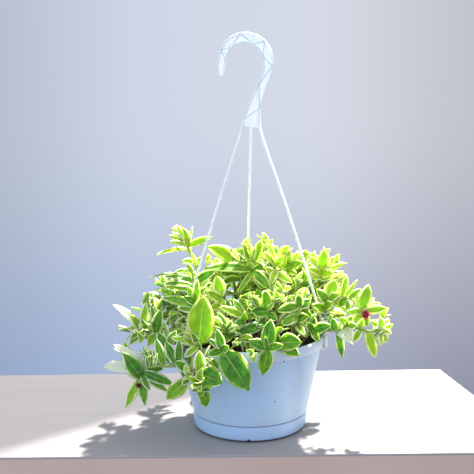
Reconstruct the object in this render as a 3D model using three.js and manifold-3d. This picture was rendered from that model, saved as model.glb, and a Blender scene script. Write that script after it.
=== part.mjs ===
// Potted baby sun rose (Aptenia cordifolia 'Variegata') in a white hanging pot.
// Units are millimetres. The origin is the middle of the pot's underside, +Z is up and -Y is the front.
// The plant is a set of leafy stems. Each stands in its own hole in the soil and carries its leaves fused on.

import * as THREE from "three";
import { mergeVertices } from "three/addons/utils/BufferGeometryUtils.js";
import Module from "manifold-3d";

// ---------------------------------------------------------------- driving dimensions
const POT_TOP = 100; // height of the rim
const COLLAR_LOW = 89; // underside of the rolled collar
const COLLAR_RADIUS = 78.3;
const WALL_TOP_RADIUS = 74.4; // outside of the wall just under the collar
const WALL_LOW_RADIUS = 60.1; // outside of the wall at its lower edge
const WALL_LOW = 16.9; // height of that lower edge
const WALL = 2; // thickness of the moulded plastic
const SKIRT_RADIUS = 54.8; // lower part of the pot that stands inside the tray
const POT_FLOOR_LOW = 6;
const DRAIN_HOLE_RADIUS = 3.5;
const DRAIN_RING_RADIUS = 30;
const DRAIN_HOLES = 5;
const TRAY_TOP = 16.4;
const TRAY_TOP_RADIUS = 59.7;
const TRAY_FOOT_RADIUS = 55.4; // edge of the flat underside
const GAP = 0.3; // running clearance between pieces that touch

const SOIL_LEVEL = 92;
const SOIL_FOOT = POT_FLOOR_LOW + WALL + GAP;
const STEM_RADIUS = 1.7;
const STEM_END_RADIUS = 1.1;
const STEM_FOOT = 78; // how deep a stem reaches into the soil
const STEM_START = 96; // up to here a stem is plumb, above it bends
const HOLE_RADIUS = 2.2; // to the corner of the square hole

const HOOK_TIP_Z = 361;
const HOOK_WEB = 2.4; // thickness of the flat web
const HOOK_BORDER = 5; // thickness across the border ribs
const BORDER_WIDTH = 1.6;
const ZIGZAG_RIB = 0.9;
const STRAND_RADIUS = 1.35;
const CLAW_AZIMUTHS = [-14, 93, 205.5]; // degrees round the rim
const CLAW_WIDTH = 5.5;
const CLAW_DEPTH = 2.6;

const ROUND_SIDES = 44; // sides of the pot and tray
const SOIL_SIDES = 24;
const LEAF_CLEARANCE = 0.4; // air kept between leaves of two different stems

// ---------------------------------------------------------------- small vector helpers
const add = (a, b) => [a[0] + b[0], a[1] + b[1], a[2] + b[2]];
const sub = (a, b) => [a[0] - b[0], a[1] - b[1], a[2] - b[2]];
const mul = (a, s) => [a[0] * s, a[1] * s, a[2] * s];
const dot = (a, b) => a[0] * b[0] + a[1] * b[1] + a[2] * b[2];
const cross = (a, b) => [a[1] * b[2] - a[2] * b[1], a[2] * b[0] - a[0] * b[2], a[0] * b[1] - a[1] * b[0]];
const size = (a) => Math.sqrt(dot(a, a));
const unit = (a) => mul(a, 1 / Math.max(size(a), 1e-9));
const square = (a, along) => unit(sub(a, mul(along, dot(a, along)))); // the part of a across "along"
const radians = (degrees) => (degrees * Math.PI) / 180;

// A small repeatable draw: the same seed always gives the same plant.
function makeDraw(seed) {
  let state = (seed % 2147483646) + 1;
  const next = () => {
    state = (state * 16807) % 2147483647;
    return state / 2147483647;
  };
  next();
  next();
  return next;
}

// A smooth curve through the points, t from 0 to 1.
function curvePoint(points, t) {
  const spans = points.length - 1;
  const i = Math.min(Math.floor(t * spans), spans - 1);
  const f = t * spans - i;
  const a = points[Math.max(i - 1, 0)];
  const b = points[i];
  const c = points[i + 1];
  const d = points[Math.min(i + 2, spans)];
  const out = [];
  for (let k = 0; k < 3; k += 1) {
    const square1 = 2 * a[k] - 5 * b[k] + 4 * c[k] - d[k];
    const cube = 3 * b[k] - a[k] - 3 * c[k] + d[k];
    out.push(0.5 * (2 * b[k] + (c[k] - a[k]) * f + square1 * f * f + cube * f * f * f));
  }
  return out;
}

function curveDirection(points, t) {
  return unit(sub(curvePoint(points, Math.min(t + 0.02, 1)), curvePoint(points, Math.max(t - 0.02, 0))));
}

// ---------------------------------------------------------------- solids
const wasm = await Module();
wasm.setup();

function geometryFrom(positions, triangles) {
  const geometry = new THREE.BufferGeometry();
  geometry.setAttribute("position", new THREE.Float32BufferAttribute(positions.flat(), 3));
  geometry.setIndex(triangles.flat());
  return geometry;
}

function solidFrom(geometry) {
  geometry.deleteAttribute("normal");
  geometry.deleteAttribute("uv");
  const merged = mergeVertices(geometry, 1e-4);
  const mesh = new wasm.Mesh({
    numProp: 3,
    vertProperties: new Float32Array(merged.attributes.position.array),
    triVerts: new Uint32Array(merged.index.array),
  });
  return new wasm.Manifold(mesh);
}

function geometryOf(solid) {
  const mesh = solid.getMesh();
  const geometry = new THREE.BufferGeometry();
  geometry.setAttribute("position", new THREE.BufferAttribute(new Float32Array(mesh.vertProperties), 3));
  geometry.setIndex(new THREE.BufferAttribute(new Uint32Array(mesh.triVerts), 1));
  return geometry;
}

// Leaves that cross can shut in a small pocket. Only the outer skin is kept, so every pocket is filled.
function outerSkin(geometry) {
  const position = geometry.attributes.position;
  const index = geometry.index.array;
  const parent = Array.from({ length: position.count }, (_, i) => i);
  const find = (i) => {
    let top = i;
    while (parent[top] !== top) {
      parent[top] = parent[parent[top]];
      top = parent[top];
    }
    return top;
  };
  for (let i = 0; i < index.length; i += 3) {
    parent[find(index[i])] = find(index[i + 1]);
    parent[find(index[i + 1])] = find(index[i + 2]);
  }
  const at = (i) => [position.getX(i), position.getY(i), position.getZ(i)];
  const volumes = new Map();
  for (let i = 0; i < index.length; i += 3) {
    const shell = find(index[i]);
    const share = dot(at(index[i]), cross(at(index[i + 1]), at(index[i + 2]))) / 6;
    volumes.set(shell, (volumes.get(shell) ?? 0) + share);
  }
  const largest = [...volumes].sort((a, b) => b[1] - a[1])[0][0];
  const kept = [];
  for (let i = 0; i < index.length; i += 3) {
    if (find(index[i]) === largest) {
      kept.push(index[i], index[i + 1], index[i + 2]);
    }
  }
  geometry.setIndex(kept);
  return geometry;
}

function fuse(solids) {
  let queue = [...solids];
  while (queue.length > 1) {
    const joined = [];
    for (let i = 0; i < queue.length; i += 2) {
      joined.push(i + 1 < queue.length ? queue[i].add(queue[i + 1]) : queue[i]);
    }
    queue = joined;
  }
  return queue[0];
}

function lathe(profile, sides = ROUND_SIDES) {
  const points = profile.map(([r, z]) => new THREE.Vector2(r, z));
  return new THREE.LatheGeometry(points, sides).rotateX(Math.PI / 2);
}

// Rings of points joined into one closed skin, with a cap at each end.
function skinFrom(rings) {
  const sides = rings[0].length;
  const positions = rings.flat();
  const triangles = [];
  for (let r = 0; r + 1 < rings.length; r += 1) {
    for (let s = 0; s < sides; s += 1) {
      const a = r * sides + s;
      const b = r * sides + ((s + 1) % sides);
      triangles.push([a, b, b + sides], [a, b + sides, a + sides]);
    }
  }
  const middle = (ring) => mul(ring.reduce(add, [0, 0, 0]), 1 / sides);
  const first = positions.length;
  positions.push(middle(rings[0]), middle(rings[rings.length - 1]));
  const last = (rings.length - 1) * sides;
  for (let s = 0; s < sides; s += 1) {
    const n = (s + 1) % sides;
    triangles.push([first, n, s], [first + 1, last + s, last + n]);
  }
  return { positions, triangles };
}

// A round or square bar that follows a curve. Its ring directions are carried along without twist.
function barRings(points, radiusAt, sides, steps, startAngle = Math.PI / 4) {
  const rings = [];
  let across = null;
  for (let i = 0; i <= steps; i += 1) {
    const t = i / steps;
    const along = curveDirection(points, t);
    const start = Math.abs(along[2]) > 0.9 ? [1, 0, 0] : [0, 0, 1];
    across = across ? square(across, along) : square(start, along);
    const other = cross(along, across);
    const centre = curvePoint(points, t);
    const ring = [];
    for (let s = 0; s < sides; s += 1) {
      const angle = startAngle + (2 * Math.PI * s) / sides;
      const out = add(mul(across, Math.cos(angle)), mul(other, Math.sin(angle)));
      ring.push(add(centre, mul(out, radiusAt(t))));
    }
    rings.push(ring);
  }
  return rings;
}

// ---------------------------------------------------------------- pot and tray
function soilHeight(x, y) {
  const rough = Math.sin(x * 0.19 + 1.1) * Math.cos(y * 0.16 - 0.4) + 0.6 * Math.sin(x * 0.41 - y * 0.37);
  const dome = 1 * (1 - (x * x + y * y) / (70 * 70));
  return SOIL_LEVEL + dome + 0.6 * rough;
}

function wallRadius(z) {
  return WALL_LOW_RADIUS + ((z - WALL_LOW) * (WALL_TOP_RADIUS - WALL_LOW_RADIUS)) / (COLLAR_LOW - WALL_LOW);
}

function buildPot() {
  const floorTop = POT_FLOOR_LOW + WALL;
  const profile = [
    [0, POT_FLOOR_LOW],
    [SKIRT_RADIUS - 0.3, POT_FLOOR_LOW],
    [SKIRT_RADIUS + 0.8, WALL_LOW - 0.3],
    [WALL_LOW_RADIUS - 0.5, WALL_LOW - 0.1],
    [WALL_LOW_RADIUS, WALL_LOW + 0.6],
    [WALL_TOP_RADIUS, COLLAR_LOW],
    [COLLAR_RADIUS - 0.6, COLLAR_LOW + 0.3],
    [COLLAR_RADIUS, POT_TOP - 2.4],
    [COLLAR_RADIUS - 1, POT_TOP - 0.5],
    [COLLAR_RADIUS - 2.2, POT_TOP],
    [COLLAR_RADIUS - 4, POT_TOP - 1.4],
    [WALL_TOP_RADIUS - WALL + 0.2, COLLAR_LOW + 1],
    [WALL_LOW_RADIUS - WALL, WALL_LOW + WALL + 0.4],
    [SKIRT_RADIUS + 0.8 - WALL, WALL_LOW + WALL - 0.4],
    [SKIRT_RADIUS - WALL, floorTop],
    [0, floorTop],
  ];
  let pot = solidFrom(lathe(profile));
  for (let i = 0; i <= DRAIN_HOLES; i += 1) {
    const angle = (2 * Math.PI * i) / DRAIN_HOLES;
    const away = i === DRAIN_HOLES ? 0 : DRAIN_RING_RADIUS;
    const hole = new THREE.CylinderGeometry(DRAIN_HOLE_RADIUS, DRAIN_HOLE_RADIUS, 3 * WALL, 8);
    hole.rotateX(Math.PI / 2);
    hole.translate(away * Math.cos(angle), away * Math.sin(angle), POT_FLOOR_LOW + WALL / 2);
    pot = pot.subtract(solidFrom(hole));
  }
  return pot;
}

function buildTray() {
  const seatLow = 2;
  const seatTop = POT_FLOOR_LOW - GAP;
  return solidFrom(
    lathe([
      [0, 0],
      [TRAY_FOOT_RADIUS, 0],
      [TRAY_FOOT_RADIUS + 2.4, 1.1],
      [TRAY_FOOT_RADIUS + 3.5, 3.4],
      [TRAY_TOP_RADIUS - 0.1, TRAY_TOP],
      [TRAY_TOP_RADIUS - 1.7, TRAY_TOP],
      [SKIRT_RADIUS - 0.2, seatLow],
      [46, seatLow],
      [45.4, seatTop],
      [43.6, seatTop],
      [43, seatLow],
      [0, seatLow],
    ]),
  );
}

// Potting soil: fills the pot, with a rough top and one plain hole for each stem.
function buildSoil(holes) {
  const topRadius = WALL_TOP_RADIUS - WALL - 0.8;
  const lowRadius = SKIRT_RADIUS - WALL - 0.7;
  const ringRadii = [topRadius, 50, 26];
  const rings = [];
  const ringAt = (radius, heightAt) => {
    const ring = [];
    for (let s = 0; s < SOIL_SIDES; s += 1) {
      const angle = (2 * Math.PI * s) / SOIL_SIDES;
      const x = radius * Math.sin(angle);
      const y = -radius * Math.cos(angle);
      ring.push([x, y, heightAt(x, y)]);
    }
    return ring;
  };
  rings.push(ringAt(lowRadius - 0.3, () => SOIL_FOOT));
  rings.push(ringAt(lowRadius + 0.4, () => WALL_LOW + WALL - 1));
  rings.push(ringAt(WALL_LOW_RADIUS - WALL - 0.8, () => WALL_LOW + WALL + 2.3));
  for (const radius of ringRadii) {
    rings.push(ringAt(radius, soilHeight));
  }
  const skin = skinFrom(rings);
  let soil = solidFrom(geometryFrom(skin.positions, skin.triangles));
  for (const [x, y] of holes) {
    const deep = STEM_FOOT - 0.6;
    const length = STEM_START + 4 - deep;
    const hole = new THREE.CylinderGeometry(HOLE_RADIUS, HOLE_RADIUS, length, 4, 1, false, Math.PI / 4);
    hole.rotateX(Math.PI / 2);
    hole.translate(x, y, deep + length / 2);
    soil = soil.subtract(solidFrom(hole));
  }
  return soil;
}

// ---------------------------------------------------------------- hanger
// Middle line of the flat hook from its tip to its foot: x, z and half the width of the band.
const HOOK_LINE = [
  [-28.6, HOOK_TIP_Z + 2.4, 2.7],
  [-28.7, 368, 3.5],
  [-28.3, 376, 4],
  [-25.3, 386.5, 4.6],
  [-17.6, 395.4, 5.1],
  [-5.4, 399.1, 5.4],
  [7.4, 395.4, 5.6],
  [15.2, 387, 5.6],
  [17.8, 376.8, 5.4],
  [16.8, 365, 5],
  [11.9, 351, 4.9],
  [6.6, 338, 5.9],
  [2.8, 326, 7],
  [0.4, 312.6, 8.6],
];

const HOOK_STATIONS = 26;

function hookStations(count) {
  const stations = [];
  for (let i = 0; i <= count; i += 1) {
    const t = i / count;
    const [x, z, half] = curvePoint(HOOK_LINE, t);
    const [dx, dz] = curveDirection(HOOK_LINE.map(([px, pz]) => [px, pz, 0]), t);
    const length = Math.hypot(dx, dz);
    stations.push({ x, z, half, acrossX: -dz / length, acrossZ: dx / length });
  }
  return stations;
}

// The band's outline, drawn in by "inset" from every edge, as a shape in x and z.
function hookOutline(inset) {
  const stations = hookStations(HOOK_STATIONS);
  const left = [];
  const right = [];
  stations.forEach((s, i) => {
    const near = i * 1.6;
    const trim = near < inset ? inset - near : 0;
    const half = Math.max(s.half - inset - trim * 0.4, 0.3);
    left.push([s.x + s.acrossX * half, s.z + s.acrossZ * half]);
    right.push([s.x - s.acrossX * half, s.z - s.acrossZ * half]);
  });
  const first = stations[0];
  const end = stations[stations.length - 1];
  const tip = [];
  const tipHalf = first.half - inset;
  for (let i = 1; i < 6; i += 1) {
    const angle = (Math.PI * i) / 6;
    const a = Math.cos(angle) * tipHalf;
    const b = Math.sin(angle) * tipHalf;
    tip.push([first.x - first.acrossX * a, first.z - first.acrossZ * a - b]);
  }
  const flare = [[4.2, -0.2], [1.8, -1.8], [-1.4, -1.8], [-3.8, -0.2]];
  const foot = inset > 0 ? [] : flare.map(([x, z]) => [end.x + x, end.z + z]);
  const outline = [...left, ...foot, ...right.reverse(), ...tip];
  const shape = new THREE.Shape(outline.map(([x, z]) => new THREE.Vector2(x, z)));
  return shape;
}

function plate(shape, thickness) {
  const flat = { depth: thickness, bevelEnabled: false, curveSegments: 1 };
  const geometry = new THREE.ExtrudeGeometry(shape, flat);
  return solidFrom(geometry.translate(0, 0, -thickness / 2).rotateX(Math.PI / 2));
}

function barBetween(from, to, width, depth) {
  const [fx, fz] = from;
  const [tx, tz] = to;
  const length = Math.hypot(tx - fx, tz - fz);
  const box = new THREE.BoxGeometry(length, depth, width);
  box.rotateY(-Math.atan2(tz - fz, tx - fx));
  box.translate((fx + tx) / 2, 0, (fz + tz) / 2);
  return solidFrom(box);
}

// Points that a strand follows from the hook's foot down to its claw.
const STRANDS = [
  { azimuth: CLAW_AZIMUTHS[0], path: [[9.6, 0, 334], [9.2, 0, 318], [12.5, -2, 300]], bow: 1.8 },
  { azimuth: CLAW_AZIMUTHS[1], path: [[0.6, 0, 322], [0.8, 1, 311], [0.4, 6, 296]], bow: 2.5 },
  { azimuth: CLAW_AZIMUTHS[2], path: [[-6.4, 0, 318], [-8.6, -0.6, 310], [-13, -3.6, 295]], bow: 1 },
];

function clawCentre(azimuth) {
  const radius = COLLAR_RADIUS + GAP + CLAW_DEPTH / 2;
  return [radius * Math.cos(radians(azimuth)), radius * Math.sin(radians(azimuth))];
}

function strandPath(strand) {
  const [x, y] = clawCentre(strand.azimuth);
  const foot = [x, y, POT_TOP + 1];
  const top = strand.path[2];
  const outward = [Math.cos(radians(strand.azimuth)), Math.sin(radians(strand.azimuth)), 0];
  const lower = [0.34, 0.67].map((f) => {
    const point = add(mul(top, 1 - f), mul(foot, f));
    return add(point, mul(outward, 4 * strand.bow * f * (1 - f)));
  });
  return [...strand.path, ...lower, foot];
}

// A flat claw goes down outside the collar and catches under it.
function buildClaw(azimuth) {
  const inner = COLLAR_RADIUS + GAP;
  const outer = inner + CLAW_DEPTH;
  const catchTop = COLLAR_LOW - GAP - 0.2;
  const catchLow = catchTop - 2.4;
  const lead = wallRadius(catchLow) + 1.6;
  const outline = [
    [inner, POT_TOP + 2.2],
    [inner + 0.6, POT_TOP + 3.4],
    [outer - 0.6, POT_TOP + 3.4],
    [outer, POT_TOP + 2.2],
    [outer, catchLow + 1],
    [outer - 1, catchLow],
    [lead, catchLow],
    [lead, catchTop],
    [inner, catchTop],
  ];
  const shape = new THREE.Shape(outline.map(([r, z]) => new THREE.Vector2(r, z)));
  const body = new THREE.ExtrudeGeometry(shape, { depth: CLAW_WIDTH, bevelEnabled: false });
  body.translate(0, 0, -CLAW_WIDTH / 2).rotateX(Math.PI / 2);
  const slot = new THREE.BoxGeometry(4 * CLAW_DEPTH, 1.5, 7).translate((inner + outer) / 2, 0, POT_TOP - 5);
  const turn = radians(azimuth);
  return solidFrom(body.rotateZ(turn)).subtract(solidFrom(slot.rotateZ(turn)));
}

function buildHanger() {
  const within = plate(hookOutline(BORDER_WIDTH), HOOK_BORDER + 2);
  const border = plate(hookOutline(0), HOOK_BORDER).subtract(within);
  const parts = [plate(hookOutline(0), HOOK_WEB), border];
  const stations = hookStations(HOOK_STATIONS);
  const zigzag = [2, 5, 8, 11, 14, 17, 20, 22, 25];
  for (let i = 0; i + 1 < zigzag.length; i += 1) {
    const side = i % 2 === 0 ? 1 : -1;
    const from = stations[zigzag[i]];
    const to = stations[zigzag[i + 1]];
    const reach = 0.85;
    parts.push(
      barBetween(
        [from.x + side * from.acrossX * from.half * reach, from.z + side * from.acrossZ * from.half * reach],
        [to.x - side * to.acrossX * to.half * reach, to.z - side * to.acrossZ * to.half * reach],
        ZIGZAG_RIB,
        HOOK_BORDER - 1.2,
      ),
    );
  }
  for (const strand of STRANDS) {
    const rings = barRings(strandPath(strand), () => STRAND_RADIUS, 6, 14, 0.2);
    const skin = skinFrom(rings);
    parts.push(solidFrom(geometryFrom(skin.positions, skin.triangles)));
    parts.push(buildClaw(strand.azimuth));
  }
  return fuse(parts);
}

// ---------------------------------------------------------------- leaves
// Half widths of a pointed oval leaf, as shares of the widest, at stations along its midrib.
const OUTLINES = {
  4: { at: [0.15, 0.36, 0.62, 0.84], wide: [0.46, 1, 0.84, 0.42] },
  3: { at: [0.2, 0.46, 0.76], wide: [0.64, 1, 0.58] },
  2: { at: [0.3, 0.66], wide: [0.94, 0.76] },
  1: { at: [0.44], wide: [1] },
};

// The frame of a leaf from its root to its tip. "turn" rolls the face round the midrib, in degrees.
function leafFrame(leaf) {
  const chord = sub(leaf.tip, leaf.root);
  const length = size(chord);
  const along = mul(chord, 1 / length);
  const flat = square(leaf.face, along);
  const side = cross(along, flat);
  const turn = radians(leaf.turn);
  return {
    length,
    along,
    face: add(mul(flat, Math.cos(turn)), mul(side, Math.sin(turn))),
    side: sub(mul(side, Math.cos(turn)), mul(flat, Math.sin(turn))),
  };
}

// A leaf is a thin lens: two faces that share one pointed outline, arched along the
// midrib and slightly folded.
function leafPoints(leaf, swell = 0) {
  const { length, along, face, side } = leafFrame(leaf);
  const count = [7, 11, 16].filter((limit) => leaf.width >= limit).length + 1;
  const { at, wide } = OUTLINES[count];
  const thick = (leaf.width >= 11 ? 1.5 : 1.25) + 2 * swell;
  const half = leaf.width / 2 + swell;
  const points = [add(leaf.root, mul(along, -0.3)), add(leaf.tip, mul(along, swell))];
  at.forEach((u, i) => {
    const rise = 4 * leaf.arch * length * u * (1 - u);
    const middle = add(add(leaf.root, mul(along, u * length)), mul(face, rise));
    const twist = radians(leaf.twist) * (u - 0.3);
    const across = add(mul(side, Math.cos(twist)), mul(face, Math.sin(twist)));
    const up = sub(mul(face, Math.cos(twist)), mul(side, Math.sin(twist)));
    const reach = half * wide[i];
    points.push(
      add(middle, mul(up, thick / 2)),
      add(middle, mul(up, -thick / 2)),
      add(add(middle, mul(across, reach)), mul(up, leaf.fold * reach)),
      add(add(middle, mul(across, -reach)), mul(up, leaf.fold * reach)),
    );
  });
  return { points, count };
}

function leafTriangles(count) {
  const triangles = [];
  const fan = (centre, edge, nextCentre, nextEdge, flip) => {
    const push = (a, b, c) => triangles.push(flip ? [a, c, b] : [a, b, c]);
    push(centre, edge, nextEdge);
    push(centre, nextEdge, nextCentre);
  };
  for (const [middle, flipTop] of [[2, false], [3, true]]) {
    for (const [edge, flipSide] of [[4, false], [5, true]]) {
      const flip = flipTop !== flipSide;
      triangles.push(flip ? [0, middle, edge] : [0, edge, middle]);
      for (let i = 0; i + 1 < count; i += 1) {
        fan(middle + 4 * i, edge + 4 * i, middle + 4 * i + 4, edge + 4 * i + 4, flip);
      }
      const last = 4 * (count - 1);
      triangles.push(flip ? [middle + last, 1, edge + last] : [middle + last, edge + last, 1]);
    }
  }
  return triangles;
}

// ---------------------------------------------------------------- keeping leaves clear of each other
function boxOf(points) {
  const low = [Infinity, Infinity, Infinity];
  const high = [-Infinity, -Infinity, -Infinity];
  for (const p of points) {
    for (let k = 0; k < 3; k += 1) {
      low[k] = Math.min(low[k], p[k]);
      high[k] = Math.max(high[k], p[k]);
    }
  }
  return { low, high };
}

const boxesMeet = (a, b) => [0, 1, 2].every((k) => a.low[k] <= b.high[k] && b.low[k] <= a.high[k]);

function edgesOf(triangles) {
  const seen = new Set();
  const edges = [];
  for (const triangle of triangles) {
    for (let k = 0; k < 3; k += 1) {
      const a = Math.min(triangle[k], triangle[(k + 1) % 3]);
      const b = Math.max(triangle[k], triangle[(k + 1) % 3]);
      if (!seen.has(a * 1000 + b)) {
        seen.add(a * 1000 + b);
        edges.push([a, b]);
      }
    }
  }
  return edges;
}

function bodyOf(points, triangles, owner) {
  return { points, triangles, edges: edgesOf(triangles), box: boxOf(points), owner };
}

function edgeCutsTriangle(p, q, a, b, c) {
  const ab = sub(b, a);
  const ac = sub(c, a);
  const line = sub(q, p);
  const h = cross(line, ac);
  const det = dot(ab, h);
  if (Math.abs(det) < 1e-9) {
    return false;
  }
  const s = sub(p, a);
  const u = dot(s, h) / det;
  if (u < 0 || u > 1) {
    return false;
  }
  const n = cross(s, ab);
  const v = dot(line, n) / det;
  if (v < 0 || u + v > 1) {
    return false;
  }
  const t = dot(ac, n) / det;
  return t >= 0 && t <= 1;
}

function bodiesCut(one, two) {
  if (!boxesMeet(one.box, two.box)) {
    return false;
  }
  for (const [e, f] of [[one, two], [two, one]]) {
    for (const [p, q] of e.edges) {
      for (const [a, b, c] of f.triangles) {
        if (edgeCutsTriangle(e.points[p], e.points[q], f.points[a], f.points[b], f.points[c])) {
          return true;
        }
      }
    }
  }
  return false;
}

// True if a point keeps off the pot, its collar, the soil and the ground.
function clearOfPot([x, y, z]) {
  const r = Math.hypot(x, y);
  const keep = 0.7;
  if (z > POT_TOP + keep) {
    return true;
  }
  if (r > COLLAR_RADIUS + keep) {
    return z > 2;
  }
  if (z < COLLAR_LOW - keep && r > wallRadius(z) + keep) {
    return z > 2;
  }
  return r < WALL_TOP_RADIUS - WALL - 0.6 + (z - COLLAR_LOW) * 0.25 && z > soilHeight(x, y) + keep;
}

function bodyClearOfPot(body) {
  return body.edges.every(([a, b]) => {
    const steps = Math.ceil(size(sub(body.points[a], body.points[b])) / 2.5);
    for (let i = 0; i <= steps; i += 1) {
      if (!clearOfPot(add(mul(body.points[a], 1 - i / steps), mul(body.points[b], i / steps)))) {
        return false;
      }
    }
    return true;
  });
}

// ---------------------------------------------------------------- the plant
const NAMED_STEPS = 9;
const NAMED_ATTEMPTS = 27;
const RULE_ATTEMPTS = 9;

const BLOOMS = [
  {
    name: "bloom_right",
    centre: [117.1, -16, 121.7],
    facing: [0.1, -1, 0.15],
    petals: 7,
    length: 5,
    spread: 52,
    heart: [[0.8, 0], [1.9, 1.1], [2, 2.4], [1.6, 3.4], [0.5, 4.3]],
    color: 0xc01768,
  },
  {
    name: "bloom_left",
    centre: [-107.1, -75.5, 69.8],
    facing: [-0.15, -0.8, -0.35],
    petals: 6,
    length: 5,
    spread: 16,
    heart: [[0.8, 0], [2, 1.2], [2.4, 2.8], [2.2, 4.4], [0.7, 5.8]],
    color: 0x7a1526,
  },
];

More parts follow.
